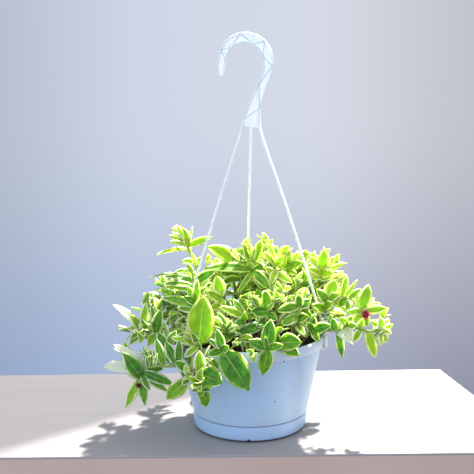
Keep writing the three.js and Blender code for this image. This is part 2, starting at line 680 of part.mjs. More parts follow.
// Stems at the front. "path" runs from the soil to the tip. Each entry of "tips" is
// one leaf: how far up the stem it sits, the x, y and z of its tip, its width and the
// roll of its face in degrees.
const NAMED_SHOOTS = [
  {
    name: "shoot_top_left",
    path: [[-34, 2, 96], [-47, -8, 129], [-53, -12, 164], [-60, -12, 182], [-64, -12, 194]],
    tips: [
      [0.85, -96, -16, 183, 10, 40], [0.89, -69, -14, 212, 11, 30], [0.92, -58, -8, 212, 4, 0],
      [0.94, -38, -14, 202, 8, 10], [1.0, -83, -16, 204, 6, 0], [0.97, -80, -6, 206, 6, 20],
      [1.0, -74, -12, 213, 6, 0], [0.94, -82, -22, 199, 6, 0], [0.57, -59, -16, 186, 6, 0],
      [0.56, -50, -8, 180, 7, 0], [0.64, -70, -14, 176, 8, 10],
    ],
  },
  {
    name: "shoot_left_curl",
    path: [[-46, -8, 96], [-48, -14, 117], [-54, -18, 141], [-57, -18, 158], [-59, -18, 167]],
    tips: [
      [1.0, -79, -14, 163, 7, 30], [0.77, -105, -22, 160, 8, 50], [0.71, -87, -28, 164, 8, 20],
      [0.92, -64, -24, 178, 6, 0], [0.63, -89, -20, 154, 8, 20], [0.56, -90, -30, 150, 9, 25],
      [0.68, -33, -28, 171, 11, 0], [0.49, -43, -26, 153, 9, 0],
    ],
  },
  {
    name: "shoot_left_cluster",
    path: [[-42, -30, 96], [-43, -46, 114], [-51, -52, 134], [-55, -52, 146]],
    tips: [
      [0.9, -61, -54, 160, 9, 0], [0.87, -51, -56, 168, 9, 0], [0.85, -65, -58, 152, 8, 0],
      [0.79, -88, -44, 146, 11, 10], [0.7, -72, -54, 138, 9, 0], [0.79, -41, -58, 147, 9, 0],
    ],
  },
  {
    name: "shoot_big_leaf",
    path: [[-34, -46, 96], [-39, -58, 104], [-44, -67, 107], [-50, -73, 106]],
    tips: [
      [0.95, -45, -62, 153, 28, 0], [1.0, -57, -78, 121, 7, 0], [1.0, -50, -80, 112, 8, 0],
      [1.0, -66, -72, 114, 9, 0], [1.0, -78, -66, 112, 9, 10], [1.0, -64, -80, 95, 8, 0],
    ],
  },
  {
    name: "shoot_arch",
    path: [[16, 10, 96], [13, 12, 132], [15, 10, 157], [7, 6, 171], [-9, 2, 173], [-18, 0, 174]],
    tips: [
      [1.0, -44, -6, 190, 16, 10], [0.83, -30, 8, 189, 8, 30], [0.75, -17, 10, 180, 6, 0],
      [0.71, -7, -2, 194, 6, 0], [0.68, -1, 4, 191, 5, 0], [0.67, 6, -4, 190, 6, 0],
      [0.65, 12, 2, 196, 11, 10], [0.52, 1, -6, 156, 10, 0], [0.43, 27, 4, 174, 8, 0],
    ],
  },
  {
    name: "shoot_long_leaf",
    path: [[-16, -8, 96], [-12, -8, 127], [7, -2, 138], [13, 0, 153], [3, -4, 165]],
    tips: [
      [1.0, -47, -8, 167, 13, 20], [0.93, 13, -10, 146, 10, 0], [0.99, 21, -16, 147, 11, 0],
      [0.92, 24, -2, 153, 10, 0], [0.99, -14, -12, 141, 6, 0],
    ],
  },
  {
    name: "shoot_gap_left",
    path: [[-28, -16, 96], [-29, -22, 117], [-29, -24, 136], [-31, -24, 145]],
    tips: [
      [0.8, -34, -26, 165, 15, 10], [0.74, -44, -32, 150, 12, 0], [0.68, -24, -34, 135, 8, 0],
      [0.59, -42, -30, 130, 10, 0],
    ],
  },
  {
    name: "shoot_top_middle",
    path: [[24, 2, 96], [23, 0, 133], [26, 0, 154], [26, 2, 169]],
    tips: [
      [1.0, 19, 6, 192, 6, 0], [0.97, 14, -4, 185, 6, 0], [0.97, 35, -6, 181, 8, 10],
      [0.86, 21, -12, 151, 9, 0], [0.82, 44, -10, 153, 9, 20], [0.74, 15, -8, 168, 9, 0],
    ],
  },
  {
    name: "shoot_top_back",
    path: [[26, 24, 96], [32, 26, 126], [38, 24, 148], [40, 20, 166]],
    tips: [
      [1.0, 33, 22, 182, 9, 0], [1.0, 41, 12, 183, 8, 0], [0.95, 52, 20, 179, 9, 0],
      [0.9, 55, 8, 171, 10, 0], [0.85, 30, 28, 171, 9, 0], [0.82, 49, 6, 158, 9, 0],
    ],
  },
  {
    name: "shoot_top_right",
    path: [[42, 16, 96], [62, 18, 119], [71, 18, 141], [75, 14, 159]],
    tips: [
      [1.0, 77, 14, 184, 15, 0], [1.0, 89, 18, 175, 9, 0], [0.97, 101, 10, 170, 6, 0],
      [0.97, 62, 12, 176, 9, 0], [0.93, 87, 2, 160, 12, 0], [0.91, 58, 4, 166, 9, 0],
      [0.86, 63, 0, 155, 9, 10], [0.84, 82, -4, 154, 10, 0],
    ],
  },
  {
    name: "shoot_right_round",
    path: [[46, -4, 96], [71, -8, 116], [78, -12, 129], [81, -12, 139]],
    tips: [
      [0.87, 87, -8, 156, 17, 0], [0.77, 67, -18, 149, 11, 0], [0.64, 84, -24, 135, 12, 0],
      [0.52, 61, -26, 136, 12, 0], [0.87, 92, -14, 145, 9, 0],
    ],
  },
  {
    name: "shoot_right_bloom",
    path: [[52, 8, 96], [75, 4, 119], [89, 0, 134], [102, -2, 134], [112, -6, 127], [117, -15, 121.6]],
    tips: [
      [0.48, 100, 4, 157, 9, 0], [0.53, 111, 2, 154, 5, 0], [0.59, 116, 6, 143, 8, 0],
      [0.55, 91, -8, 127, 10, 0], [0.63, 98, -14, 125, 8, 0], [0.88, 122, -2, 150, 13, 0],
      [0.91, 135, -4, 130, 9, 0], [0.92, 141, -8, 126, 10, 0], [0.92, 97, -16, 123, 8, 0],
      [0.92, 104, -20, 110, 11, 0], [0.92, 121, -22, 106, 10, 0], [0.85, 109, 2, 138, 9, 0],
      [0.91, 129, 4, 134, 7, 0],
    ],
  },
  {
    name: "shoot_far_right",
    path: [
      [54, -14, 96], [84, -16, 110], [102, -22, 110],
      [118, -26, 107], [128, -28, 107], [134, -28, 107],
    ],
    tips: [
      [1.0, 145, -26, 114, 7, 0], [1.0, 143, -34, 106, 7, 0], [0.95, 138, -32, 96, 8, 0],
      [0.91, 131, -36, 95, 7, 0], [1.0, 141, -22, 119, 8, 0], [0.95, 131, -28, 123, 8, 0],
      [0.88, 122, -30, 119, 8, 0], [0.95, 125, -24, 97, 7, 0], [1.0, 136, -40, 113, 6, 0],
      [0.6, 127, -30, 80, 12, 0], [0.52, 104, -30, 96, 9, 0], [0.5, 114, -28, 121, 8, 0],
    ],
  },
  {
    name: "shoot_right_front",
    path: [[42, -26, 96], [70, -28, 107], [86, -44, 113], [96, -46, 119]],
    tips: [
      [0.98, 89, -44, 126, 8, 0], [0.98, 102, -42, 127, 8, 0], [0.98, 106, -48, 119, 8, 0],
      [0.95, 90, -54, 115, 7, 0], [0.9, 101, -50, 105, 9, 0], [0.98, 95, -54, 126, 6, 0],
      [0.69, 92, -46, 84, 9, 0], [0.62, 103, -56, 101, 5, 20], [0.62, 82, -42, 125, 9, 0],
    ],
  },
  {
    name: "shoot_right_inner",
    path: [[32, -30, 96], [43, -40, 110], [47, -48, 125], [48, -50, 139]],
    tips: [
      [1.0, 26, -54, 135, 11, 0], [0.93, 48, -48, 151, 10, 0], [0.75, 30, -58, 122, 11, 0],
      [0.66, 58, -54, 130, 11, 0], [0.6, 56, -50, 107, 10, 0], [0.52, 53, -58, 112, 8, 0],
      [0.93, 60, -44, 144, 10, 0],
    ],
  },
  {
    name: "shoot_strand_end",
    path: [[52, -34, 96], [58, -42, 108], [63, -48, 114]],
    tips: [
      [1.0, 80, -58, 122, 11, 0], [0.86, 56, -52, 123, 9, 0], [0.82, 68, -54, 104, 8, 0],
    ],
  },
  {
    name: "shoot_front_right",
    path: [[20, -50, 96], [24, -64, 102], [28, -72, 108]],
    tips: [
      [1.0, 50, -80, 111, 18, 0], [0.88, 48, -76, 96, 14, 0], [0.87, 22, -70, 120, 9, 0],
    ],
  },
  {
    name: "shoot_front_cross",
    path: [[8, -56, 96], [12, -74, 106], [17, -86, 106]],
    tips: [
      [0.9, 20, -82, 135, 15, 0], [1.0, 12, -92, 82, 15, 0], [0.9, -2, -84, 114, 12, 0],
      [0.96, 32, -92, 112, 9, 0], [0.96, 14, -94, 122, 6, 0],
    ],
  },
  {
    name: "shoot_centre",
    path: [[4, -26, 96], [8, -38, 106], [16, -46, 126], [17, -46, 135]],
    tips: [
      [1.0, 15, -44, 154, 12, 0], [0.85, 1, -54, 135, 14, 0], [0.78, 27, -58, 126, 9, 0],
      [0.94, 24, -46, 143, 6, 0], [0.53, -18, -56, 111, 12, 0], [0.58, 6, -60, 120, 9, 0],
    ],
  },
  {
    name: "shoot_centre_left",
    path: [[-12, -34, 96], [-6, -44, 107], [-5, -48, 120], [-6, -48, 128]],
    tips: [
      [0.97, -31, -48, 138, 9, 10], [0.83, -4, -54, 134, 8, 0], [0.61, -6, -60, 127, 9, 0],
      [0.91, -17, -40, 143, 9, 0], [0.75, -17, -58, 122, 9, 0],
    ],
  },
  {
    name: "shoot_left_inner",
    path: [[-24, -40, 96], [-20, -50, 108], [-22, -56, 115]],
    tips: [
      [1.0, -38, -60, 126, 9, 0], [1.0, -18, -58, 127, 8, 0], [0.94, -13, -64, 122, 6, 0],
      [1.0, -32, -52, 134, 8, 0],
    ],
  },
  {
    name: "shoot_rim_leaf",
    path: [[-18, -56, 96], [-21, -74, 102], [-27, -84, 104]],
    tips: [
      [0.95, -1, -94, 67, 27, 0], [1.0, -41, -90, 101, 9, 0], [1.0, -20, -88, 110, 9, 0],
      [1.0, -32, -84, 126, 10, 0], [0.92, -41, -82, 116, 6, 0],
    ],
  },
  {
    name: "shoot_low_front",
    path: [
      [-32, -54, 96], [-35, -64, 105], [-39, -76, 106],
      [-46, -92, 95], [-48, -94, 82], [-46, -95, 71],
    ],
    tips: [
      [0.74, -48, -96, 108, 13, 0], [0.77, -26, -102, 77, 23, 0], [0.83, -50, -100, 91, 7, 0],
      [0.97, -43, -102, 84, 8, 0], [0.99, -37, -102, 70, 8, 0], [0.99, -55, -102, 69, 8, 0],
      [0.99, -48, -102, 63, 8, 0], [0.97, -39, -98, 78, 8, 0], [0.97, -54, -98, 76, 8, 0],
      [0.99, -42, -92, 50, 12, 0], [0.62, -39, -94, 99, 7, 0],
    ],
  },
  {
    name: "shoot_low_left",
    path: [[-44, -44, 96], [-47, -54, 105], [-50, -66, 106], [-57, -84, 89], [-60, -86, 75]],
    tips: [
      [0.84, -72, -88, 95, 11, 0], [1.0, -81, -84, 55, 16, 0], [0.95, -67, -92, 85, 7, 0],
      [1.0, -59, -94, 86, 6, 0], [1.0, -65, -94, 72, 7, 0], [0.73, -63, -80, 100, 9, 0],
    ],
  },
  {
    name: "shoot_trail_left",
    path: [
      [-52, -32, 96], [-57, -42, 105], [-62, -55, 105], [-70, -76, 88],
      [-87, -76, 86], [-101, -72, 83], [-107, -69, 72], [-107, -75, 70],
    ],
    tips: [
      [0.42, -68, -80, 115, 9, 0], [0.44, -82, -74, 111, 11, 0], [0.46, -84, -84, 104, 8, 0],
      [0.54, -92, -66, 111, 10, 0], [0.72, -134, -66, 105, 10, 20], [0.73, -145, -62, 81, 14, 0],
      [0.86, -123, -80, 101, 17, 0], [0.85, -128, -76, 82, 11, 0], [0.85, -122, -72, 42, 11, 0],
      [0.83, -104, -70, 45, 10, 0], [0.79, -75, -70, 65, 11, 0], [0.81, -80, -76, 57, 8, 0],
      [0.73, -85, -64, 79, 8, 0], [0.66, -104, -74, 105, 5, 0], [0.65, -97, -70, 103, 5, 0],
      [0.63, -89, -80, 101, 5, 0], [0.69, -100, -82, 98, 5, 0], [0.82, -112, -80, 64, 9, 0],
      [0.82, -96, -84, 62, 8, 0],
    ],
  },
  {
    name: "shoot_left_rosette",
    path: [[-58, -12, 96], [-68, -30, 107], [-88, -36, 107], [-102, -38, 108], [-109, -38, 113]],
    tips: [
      [1.0, -138, -34, 137, 10, 20], [0.87, -104, -40, 141, 10, 0], [1.0, -119, -44, 129, 10, 0],
      [1.0, -122, -40, 114, 8, 0], [0.94, -119, -46, 105, 8, 0], [0.84, -122, -38, 96, 9, 0],
      [0.61, -88, -42, 135, 13, 0], [0.51, -78, -50, 131, 5, 30], [0.56, -102, -50, 98, 11, 0],
      [0.57, -100, -30, 137, 7, 0], [0.75, -108, -50, 127, 8, 0],
    ],
  },
  {
    name: "shoot_left_middle",
    path: [[-52, 2, 96], [-59, -6, 115], [-73, -14, 126], [-82, -18, 128]],
    tips: [
      [0.94, -91, -12, 139, 9, 0], [0.85, -93, -26, 124, 11, 0], [0.72, -80, -32, 118, 11, 0],
      [0.66, -68, -26, 143, 10, 0], [0.57, -69, -30, 114, 12, 0], [0.94, -99, -14, 130, 9, 0],
    ],
  },
  {
    name: "shoot_left_low",
    path: [[-58, -24, 96], [-63, -50, 104], [-76, -58, 103], [-85, -60, 101]],
    tips: [
      [0.9, -91, -58, 115, 10, 0], [0.79, -72, -62, 118, 10, 0], [0.9, -95, -62, 96, 9, 0],
      [0.6, -64, -60, 115, 9, 0],
    ],
  },
];

// Stems that fill the middle and the back: they rise from the soil, arch outward and trail over the rim.
const FILL_SHOOTS = [
  // name, azimuth in degrees, root radius, reach, rise, drop, pairs
["shoot_back_1", 24, 58, 110, 38, 26, 3],
  ["shoot_back_2", 32, 44, 86, 62, 12, 3],
  ["shoot_back_3", 52, 56, 112, 30, 34, 3],
  ["shoot_back_4", 66, 30, 74, 66, 8, 3],
  ["shoot_back_5", 80, 54, 104, 34, 30, 3],
  ["shoot_back_6", 100, 58, 116, 26, 40, 3],
  ["shoot_back_7", 114, 32, 78, 58, 10, 3],
  ["shoot_back_8", 128, 56, 110, 32, 34, 3],
  ["shoot_back_9", 146, 34, 86, 50, 12, 3],
  ["shoot_back_10", 158, 58, 118, 26, 34, 3],
  ["shoot_back_11", 176, 44, 92, 40, 14, 3],
  ["shoot_middle_1", 70, 8, 26, 56, 4, 3],
  ["shoot_middle_2", 168, 20, 40, 44, 4, 3],
  ["shoot_middle_3", 284, 14, 34, 36, 4, 3],
  ["shoot_middle_4", 325, 26, 50, 44, 6, 3],
  ["shoot_middle_5", 232, 16, 42, 34, 4, 3],
  ["shoot_middle_6", 8, 34, 62, 52, 6, 3],
  ["shoot_middle_7", 110, 14, 40, 58, 4, 3],
];

function makeFillShoots() {
  return FILL_SHOOTS.map(([name, azimuth, rootRadius, reach, rise, drop, pairs], i) => {
    const draw = makeDraw(900 + i);
    const point = (radius, bend, z) => {
      const angle = radians(azimuth + bend);
      return [radius * Math.cos(angle), radius * Math.sin(angle), z];
    };
    const bend = 14 * (draw() - 0.5);
    const span = reach - rootRadius;
    return {
      name,
      path: [
        point(rootRadius, 0, STEM_START),
        point(rootRadius + 0.22 * span, bend * 0.3, STEM_START + 0.72 * rise),
        point(rootRadius + 0.6 * span, bend * 0.7, STEM_START + rise),
        point(reach, bend, STEM_START + rise - drop),
      ],
      pairs,
      crown: 3,
      bare: 0.16,
      leafScale: 1.14,
    };
  });
}

// ---------------------------------------------------------------- stems
function stemRings(path, swell = 0) {
  const root = path[0];
  const ringAt = (centre, along, across, radius) => {
    const other = cross(along, across);
    const ring = [];
    for (let s = 0; s < 4; s += 1) {
      const angle = Math.PI / 4 + (Math.PI * s) / 2;
      const out = add(mul(across, Math.cos(angle)), mul(other, Math.sin(angle)));
      ring.push(add(centre, mul(out, radius + swell)));
    }
    return ring;
  };
  let across = [1, 0, 0];
  const rings = [];
  rings.push(ringAt([root[0], root[1], STEM_FOOT], [0, 0, 1], across, STEM_RADIUS));
  rings.push(ringAt([root[0], root[1], STEM_START - 1.5], [0, 0, 1], across, STEM_RADIUS));
  let length = 0;
  for (let i = 0; i < 20; i += 1) {
    length += size(sub(curvePoint(path, (i + 1) / 20), curvePoint(path, i / 20)));
  }
  const steps = Math.max(3, Math.ceil(length / 16));
  for (let i = 1; i <= steps; i += 1) {
    const t = i / steps;
    const along = curveDirection(path, t);
    across = square(across, along);
    const radius = STEM_RADIUS + (STEM_END_RADIUS - STEM_RADIUS) * t;
    rings.push(ringAt(curvePoint(path, t), along, across, radius));
  }
  return rings;
}

function stemBodies(path, owner) {
  const rings = stemRings(path, 0.55);
  const bodies = [];
  for (let i = 1; i + 1 < rings.length; i += 1) {
    const skin = skinFrom([rings[i], rings[i + 1]]);
    bodies.push(bodyOf(skin.positions, skin.triangles, owner));
  }
  return bodies;
}

// A leaf whose tip is set by hand. Later tries move the tip nearer to or further from
// the front, then shorten it.
function namedLeaf(shoot, order, attempt) {
  const [at, x, y, z, width, turn] = shoot.tips[order];
  const draw = makeDraw(shoot.seed * 1013 + order * 37 + 5);
  const sway = makeDraw(shoot.seed * 1013 + order * 37 + attempt * 7919);
  const root = curvePoint(shoot.path, at);
  const level = attempt % NAMED_STEPS;
  const side = level % 2 === 0 ? 1 : -1;
  const across = (sway() - 0.5) * level * 0.8;
  const move = [across, side * Math.ceil(level / 2) * 2.6, (sway() - 0.5) * level * 0.8];
  const shrink = 1 - 0.16 * Math.floor(attempt / NAMED_STEPS);
  const tip = add(root, mul(sub(add([x, y, z], move), root), shrink));
  return {
    root,
    tip,
    width: width * shrink,
    face: [0.12 * (draw() - 0.5), -0.88, 0.45],
    turn,
    arch: 0.05 + 0.06 * draw(),
    fold: 0.14 + 0.16 * draw(),
    twist: 24 * (draw() - 0.5),
  };
}

// A leaf placed by rule at one side of a node of the stem. "slot" counts the leaves of the stem.
function ruleLeaf(shoot, slot, attempt) {
  const { at, angle, scale } = slot;
  const draw = makeDraw(shoot.seed * 1013 + slot.key * 61 + attempt * 7919 + 11);
  const root = curvePoint(shoot.path, at);
  const along = curveDirection(shoot.path, at);
  const across = square(Math.abs(along[2]) > 0.92 ? [0, -1, 0] : [0, 0, 1], along);
  const other = cross(along, across);
  const around = radians(angle + (draw() - 0.5) * (36 + 9 * attempt));
  const open = radians(slot.open + (draw() - 0.5) * 30);
  const out = add(mul(across, Math.cos(around)), mul(other, Math.sin(around)));
  const heading = unit(add(add(mul(along, Math.cos(open)), mul(out, Math.sin(open))), [0, 0, -0.12]));
  const length = scale * (20 + 9 * draw()) * (1 - 0.045 * attempt);
  const outward = unit([root[0], root[1], 1]);
  return {
    root,
    tip: add(root, mul(heading, length)),
    width: length * (0.46 + 0.12 * draw()),
    face: add(add(mul(along, 0.5), mul(outward, 0.5)), [0, 0, 0.9]),
    turn: 50 * (draw() - 0.5),
    arch: 0.04 + 0.1 * draw(),
    fold: 0.12 + 0.2 * draw(),
    twist: 40 * (draw() - 0.5),
  };
}

// Opposite pairs up the stem, each pair turned a quarter from the last, then a crown
// of small leaves at the tip.
function ruleSlots(shoot) {
  const draw = makeDraw(shoot.seed * 71 + 3);
  const slots = [];
  const start = 360 * draw();
  for (let pair = 0; pair < shoot.pairs; pair += 1) {
    const at = shoot.bare + ((0.97 - shoot.bare) * (pair + 0.4)) / shoot.pairs;
    for (const half of [0, 1]) {
      const scale = shoot.leafScale * (1.05 - 0.3 * at);
      slots.push({ key: slots.length, at, angle: start + 90 * pair + 180 * half, open: 68, scale });
    }
    if (draw() < 0.3) {
      const angle = start + 90 * pair + 90 * Math.floor(2 * draw()) + 40;
      slots.push({ key: slots.length, at: at + 0.02, angle, open: 42, scale: 0.45 });
    }
  }
  for (let leaf = 0; leaf < shoot.crown; leaf += 1) {
    const scale = 0.5 + 0.22 * draw();
    const angle = start + 45 + 137.5 * leaf;
    slots.push({ key: slots.length, at: 1 - 0.012 * leaf, angle, open: 26 + 9 * leaf, scale });
  }
  return slots;
}

// ---------------------------------------------------------------- blooms
// A half open bloom: two rings of narrow petals round a small solid heart.
function buildBloom({ centre, facing, petals, length, spread, heart }) {
  const along = unit(facing);
  const across = square([0, 0, 1], along);
  const other = cross(along, across);
  const place = ([a, b, c]) => add(centre, add(add(mul(across, a), mul(other, b)), mul(along, c)));
  const parts = [];
  const cup = [];
  for (const [radius, height] of heart) {
    const ring = [];
    for (let s = 0; s < 8; s += 1) {
      const angle = (Math.PI * s) / 4;
      ring.push(place([radius * Math.cos(angle), radius * Math.sin(angle), height]));
    }
    cup.push(ring);
  }
  const cupSkin = skinFrom(cup);
  parts.push(solidFrom(geometryFrom(cupSkin.positions, cupSkin.triangles)));
  for (const [ring, open, reach] of [[0, spread, 1], [1, spread * 0.5, 0.8]]) {
    const count = petals - 2 * ring;
    for (let i = 0; i < count; i += 1) {
      const angle = (2 * Math.PI * (i + 0.5 * ring)) / count;
      const lean = radians(open);
      const radial = [Math.cos(angle) * Math.sin(lean), Math.sin(angle) * Math.sin(lean), Math.cos(lean)];
      const inner = [Math.cos(angle) * 1.3, Math.sin(angle) * 1.3, 1.2];
      const tip = add(inner, mul(radial, length * reach));
      const petal = {
        root: place(inner),
        tip: place(tip),
        width: 1.5,
        face: add(mul(along, 1), mul(add(mul(across, -radial[0]), mul(other, -radial[1])), 0.4)),
        turn: 0,
        arch: 0.08,
        fold: 0.1,
        twist: 0,
      };
      const blade = leafPoints(petal, -0.2);
      parts.push(solidFrom(geometryFrom(blade.points, leafTriangles(blade.count))));
    }
  }
  return fuse(parts);
}

// ---------------------------------------------------------------- putting it together
const scene = new THREE.Group();
scene.name = "potted_baby_sun_rose";

function addMesh(name, solid, color, roughness) {
  const material = new THREE.MeshStandardMaterial({ color, roughness, metalness: 0 });
  const mesh = new THREE.Mesh(outerSkin(geometryOf(solid)), material);
  mesh.name = name;
  scene.add(mesh);
}

const shoots = [...NAMED_SHOOTS, ...makeFillShoots()].map((shoot, i) => ({
  pairs: 0,
  crown: 0,
  bare: 0.2,
  leafScale: 0.8,
  tips: [],
  ...shoot,
  seed: i + 1,
}));

const obstacles = [];
for (const strand of STRANDS) {
  const rings = barRings(strandPath(strand), () => STRAND_RADIUS + 0.7, 6, 14, 0.2);
  for (let i = 0; i + 1 < rings.length; i += 1) {
    const skin = skinFrom([rings[i], rings[i + 1]]);
    obstacles.push(bodyOf(skin.positions, skin.triangles, "hanger"));
  }
  const [x, y] = clawCentre(strand.azimuth);
  const claw = new THREE.BoxGeometry(CLAW_DEPTH + 1.4, CLAW_WIDTH + 1.4, 18);
  claw.rotateZ(radians(strand.azimuth)).translate(x, y, POT_TOP - 5);
  const mesh = solidFrom(claw).getMesh();
  const points = [];
  for (let i = 0; i < mesh.vertProperties.length; i += 3) {
    points.push([...mesh.vertProperties.slice(i, i + 3)]);
  }
  const triangles = [];
  for (let i = 0; i < mesh.triVerts.length; i += 3) {
    triangles.push([...mesh.triVerts.slice(i, i + 3)]);
  }
  obstacles.push(bodyOf(points, triangles, "hanger"));
}
for (const bloom of BLOOMS) {
  const reach = bloom.length + 0.6;
  const ring = (height, radius) => {
    const along = unit(bloom.facing);
    const across = square([0, 0, 1], along);
    const other = cross(along, across);
    return [0, 1, 2, 3, 4, 5].map((s) => {
      const angle = (Math.PI * s) / 3;
      const out = add(mul(across, Math.cos(angle) * radius), mul(other, Math.sin(angle) * radius));
      return add(add(bloom.centre, mul(along, height)), out);
    });
  };
  const wide = 1.2 + reach * Math.sin(radians(bloom.spread));
  const skin = skinFrom([ring(-0.1, 1.1), ring(2.2, 2.6), ring(2 + reach * 0.8, wide)]);
  obstacles.push(bodyOf(skin.positions, skin.triangles, bloom.name));
}
for (const shoot of shoots) {
  obstacles.push(...stemBodies(shoot.path, shoot.name));
}

const leavesOf = new Map(shoots.map((shoot) => [shoot.name, []]));

// Tries one leaf in several positions and keeps the first that is clear of everything outside its own stem.
function placeLeaf(shoot, make, attempts, mayCrossOwn) {
  let spare = null;
  for (let attempt = 0; attempt < attempts; attempt += 1) {
    const leaf = make(attempt);
    const swollen = leafPoints(leaf, LEAF_CLEARANCE);
    const triangles = leafTriangles(swollen.count);
    const body = bodyOf(swollen.points, triangles, shoot.name);
    if (!bodyClearOfPot(body)) {
      continue;
    }
    if (obstacles.some((other) => other.owner !== shoot.name && bodiesCut(body, other))) {
      continue;
    }
    const { points } = leafPoints(leaf);
    const outer = triangles.filter((triangle) => !triangle.includes(0));
    const placed = { leaf, points, triangles, outerBody: bodyOf(points, outer, shoot.name) };
    const siblings = leavesOf.get(shoot.name);
    if (!siblings.some((other) => bodiesCut(placed.outerBody, other.outerBody))) {
      spare = placed;
      break;
    }
    if (mayCrossOwn) {
      spare = spare ?? placed;
    }
  }
  if (spare) {
    leavesOf.get(shoot.name).push(spare);
    obstacles.push(bodyOf(spare.points, spare.triangles, shoot.name));
  }
  return spare !== null;
}

for (const shoot of shoots) {
  shoot.tips.forEach((_, order) => {
    placeLeaf(shoot, (attempt) => namedLeaf(shoot, order, attempt), NAMED_ATTEMPTS, true);
  });
}
for (const shoot of shoots) {
  for (const slot of ruleSlots(shoot)) {
    placeLeaf(shoot, (attempt) => ruleLeaf(shoot, slot, attempt), RULE_ATTEMPTS, false);
  }
}

addMesh("pot", buildPot(), 0xe9eff6, 0.42);
addMesh("drip_tray", buildTray(), 0xe4ebf4, 0.42);
addMesh("soil", buildSoil(shoots.map((shoot) => shoot.path[0])), 0x2c211a, 0.95);
addMesh("hanger", buildHanger(), 0xeef3f7, 0.38);
for (const bloom of BLOOMS) {
  addMesh(bloom.name, buildBloom(bloom), bloom.color, 0.5);
}
for (const shoot of shoots) {
  const skin = skinFrom(stemRings(shoot.path));
  const parts = [solidFrom(geometryFrom(skin.positions, skin.triangles))];
  for (const { points, triangles } of leavesOf.get(shoot.name)) {
    parts.push(solidFrom(geometryFrom(points, triangles)));
  }
  addMesh(shoot.name, fuse(parts), shoot.color ?? 0x7fae3a, 0.55);
}

export default scene;
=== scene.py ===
# %% [markdown]
# # A potted baby sun rose
# This lesson dresses a ready-made frame of solids as a living plant. The frame already has every piece in
# its right place and size: a white hanging pot with a drip tray, potting mix, a moulded hanger, two blooms
# and forty-six leafy stems. The solids are plain, so each one is replaced by a finer piece that keeps its
# form. Everything is measured in metres, with +Z up and -Y towards the viewer.

import math

import bpy
import numpy as np
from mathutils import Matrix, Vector
from mathutils import noise as hills
from mathutils.kdtree import KDTree


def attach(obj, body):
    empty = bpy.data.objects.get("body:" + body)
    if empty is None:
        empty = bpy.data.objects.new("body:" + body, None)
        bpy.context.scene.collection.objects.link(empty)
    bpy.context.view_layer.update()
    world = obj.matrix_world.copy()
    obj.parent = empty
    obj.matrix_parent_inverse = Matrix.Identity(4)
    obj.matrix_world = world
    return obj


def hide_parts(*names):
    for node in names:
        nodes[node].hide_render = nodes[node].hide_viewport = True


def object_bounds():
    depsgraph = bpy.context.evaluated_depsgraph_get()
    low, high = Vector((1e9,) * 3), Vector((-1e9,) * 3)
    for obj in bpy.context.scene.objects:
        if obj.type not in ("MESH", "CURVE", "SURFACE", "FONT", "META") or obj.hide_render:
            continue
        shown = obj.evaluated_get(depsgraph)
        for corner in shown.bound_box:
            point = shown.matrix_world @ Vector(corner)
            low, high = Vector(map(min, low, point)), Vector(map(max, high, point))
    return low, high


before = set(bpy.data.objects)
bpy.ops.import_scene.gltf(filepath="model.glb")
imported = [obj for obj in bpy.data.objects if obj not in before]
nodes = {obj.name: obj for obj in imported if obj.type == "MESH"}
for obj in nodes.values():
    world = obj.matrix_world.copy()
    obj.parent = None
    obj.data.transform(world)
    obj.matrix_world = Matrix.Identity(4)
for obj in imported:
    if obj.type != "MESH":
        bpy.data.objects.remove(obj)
solid_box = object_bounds()
print("solids:", len(nodes), "box:", [[round(v, 4) for v in corner] for corner in solid_box])

# %% [markdown]
# ## Small helpers
# Plants are made of hundreds of parts that are alike but never the same. A seeded draw gives numbers that
# look random yet come out the same on every run, so the plant never changes between two renders. The stem's
# curve passes through all of its points, which makes it easy to lead a stem past its neighbours.

# %% Vectors
MM = 0.001  # the plant's sizes are written in millimetres
FAR = 1e9


def vec(*values):
    return np.array(values, dtype=float)


def size_of(a):
    return float(np.linalg.norm(a))


def unit(a):
    return a / max(size_of(a), 1e-9)


def square(a, along):
    """The part of a that stands square to along."""
    return unit(a - along * float(np.dot(a, along)))


def limit(value):
    """The value, kept between 0 and 1."""
    return min(1.0, max(0.0, value))


def around(across, other, degrees):
    """A direction in the plane of across and other."""
    angle = math.radians(degrees)
    return across * math.cos(angle) + other * math.sin(angle)


EAST = vec(1, 0, 0)
NORTH = vec(0, 1, 0)
UP = vec(0, 0, 1)
print("a quarter turn from east:", around(EAST, NORTH, 90).round(3))


# %% Draws and curves
DRAW_STEP = 16807
DRAW_TURN = 2147483647  # a prime: the draws come round again after this many


def make_draw(seed):
    """A repeatable draw from 0 to 1. Seeds are a stem's number times a prime, so that no two run alike."""
    state = (seed % (DRAW_TURN - 1)) + 1

    def draw():
        nonlocal state
        state = (state * DRAW_STEP) % DRAW_TURN
        return state / DRAW_TURN

    draw()
    draw()
    return draw


def curve_point(points, t):
    """A smooth curve through the points, t from 0 to 1."""
    spans = len(points) - 1
    i = min(int(t * spans), spans - 1)
    f = t * spans - i
    a = points[max(i - 1, 0)]
    b = points[i]
    c = points[i + 1]
    d = points[min(i + 2, spans)]
    return 0.5 * (2 * b + (c - a) * f + (2 * a - 5 * b + 4 * c - d) * f * f + (3 * b - a - 3 * c + d) * f**3)


def curve_direction(points, t):
    return unit(curve_point(points, min(t + 0.02, 1.0)) - curve_point(points, max(t - 0.02, 0.0)))


def curve_length(points, steps=24):
    spots = np.array([curve_point(points, i / steps) for i in range(steps + 1)])
    return float(np.linalg.norm(np.diff(spots, axis=0), axis=1).sum())


def beside(path, at, degrees):
    """The point at that share of the path, the direction along it, and a direction out from it."""
    along = curve_direction(path, at)
    steep = abs(along[2]) > 0.92
    across = square(-NORTH if steep else UP, along)
    return curve_point(path, at), along, around(across, np.cross(along, across), degrees)


print("first draw of seed 1:", round(make_draw(1)(), 4))


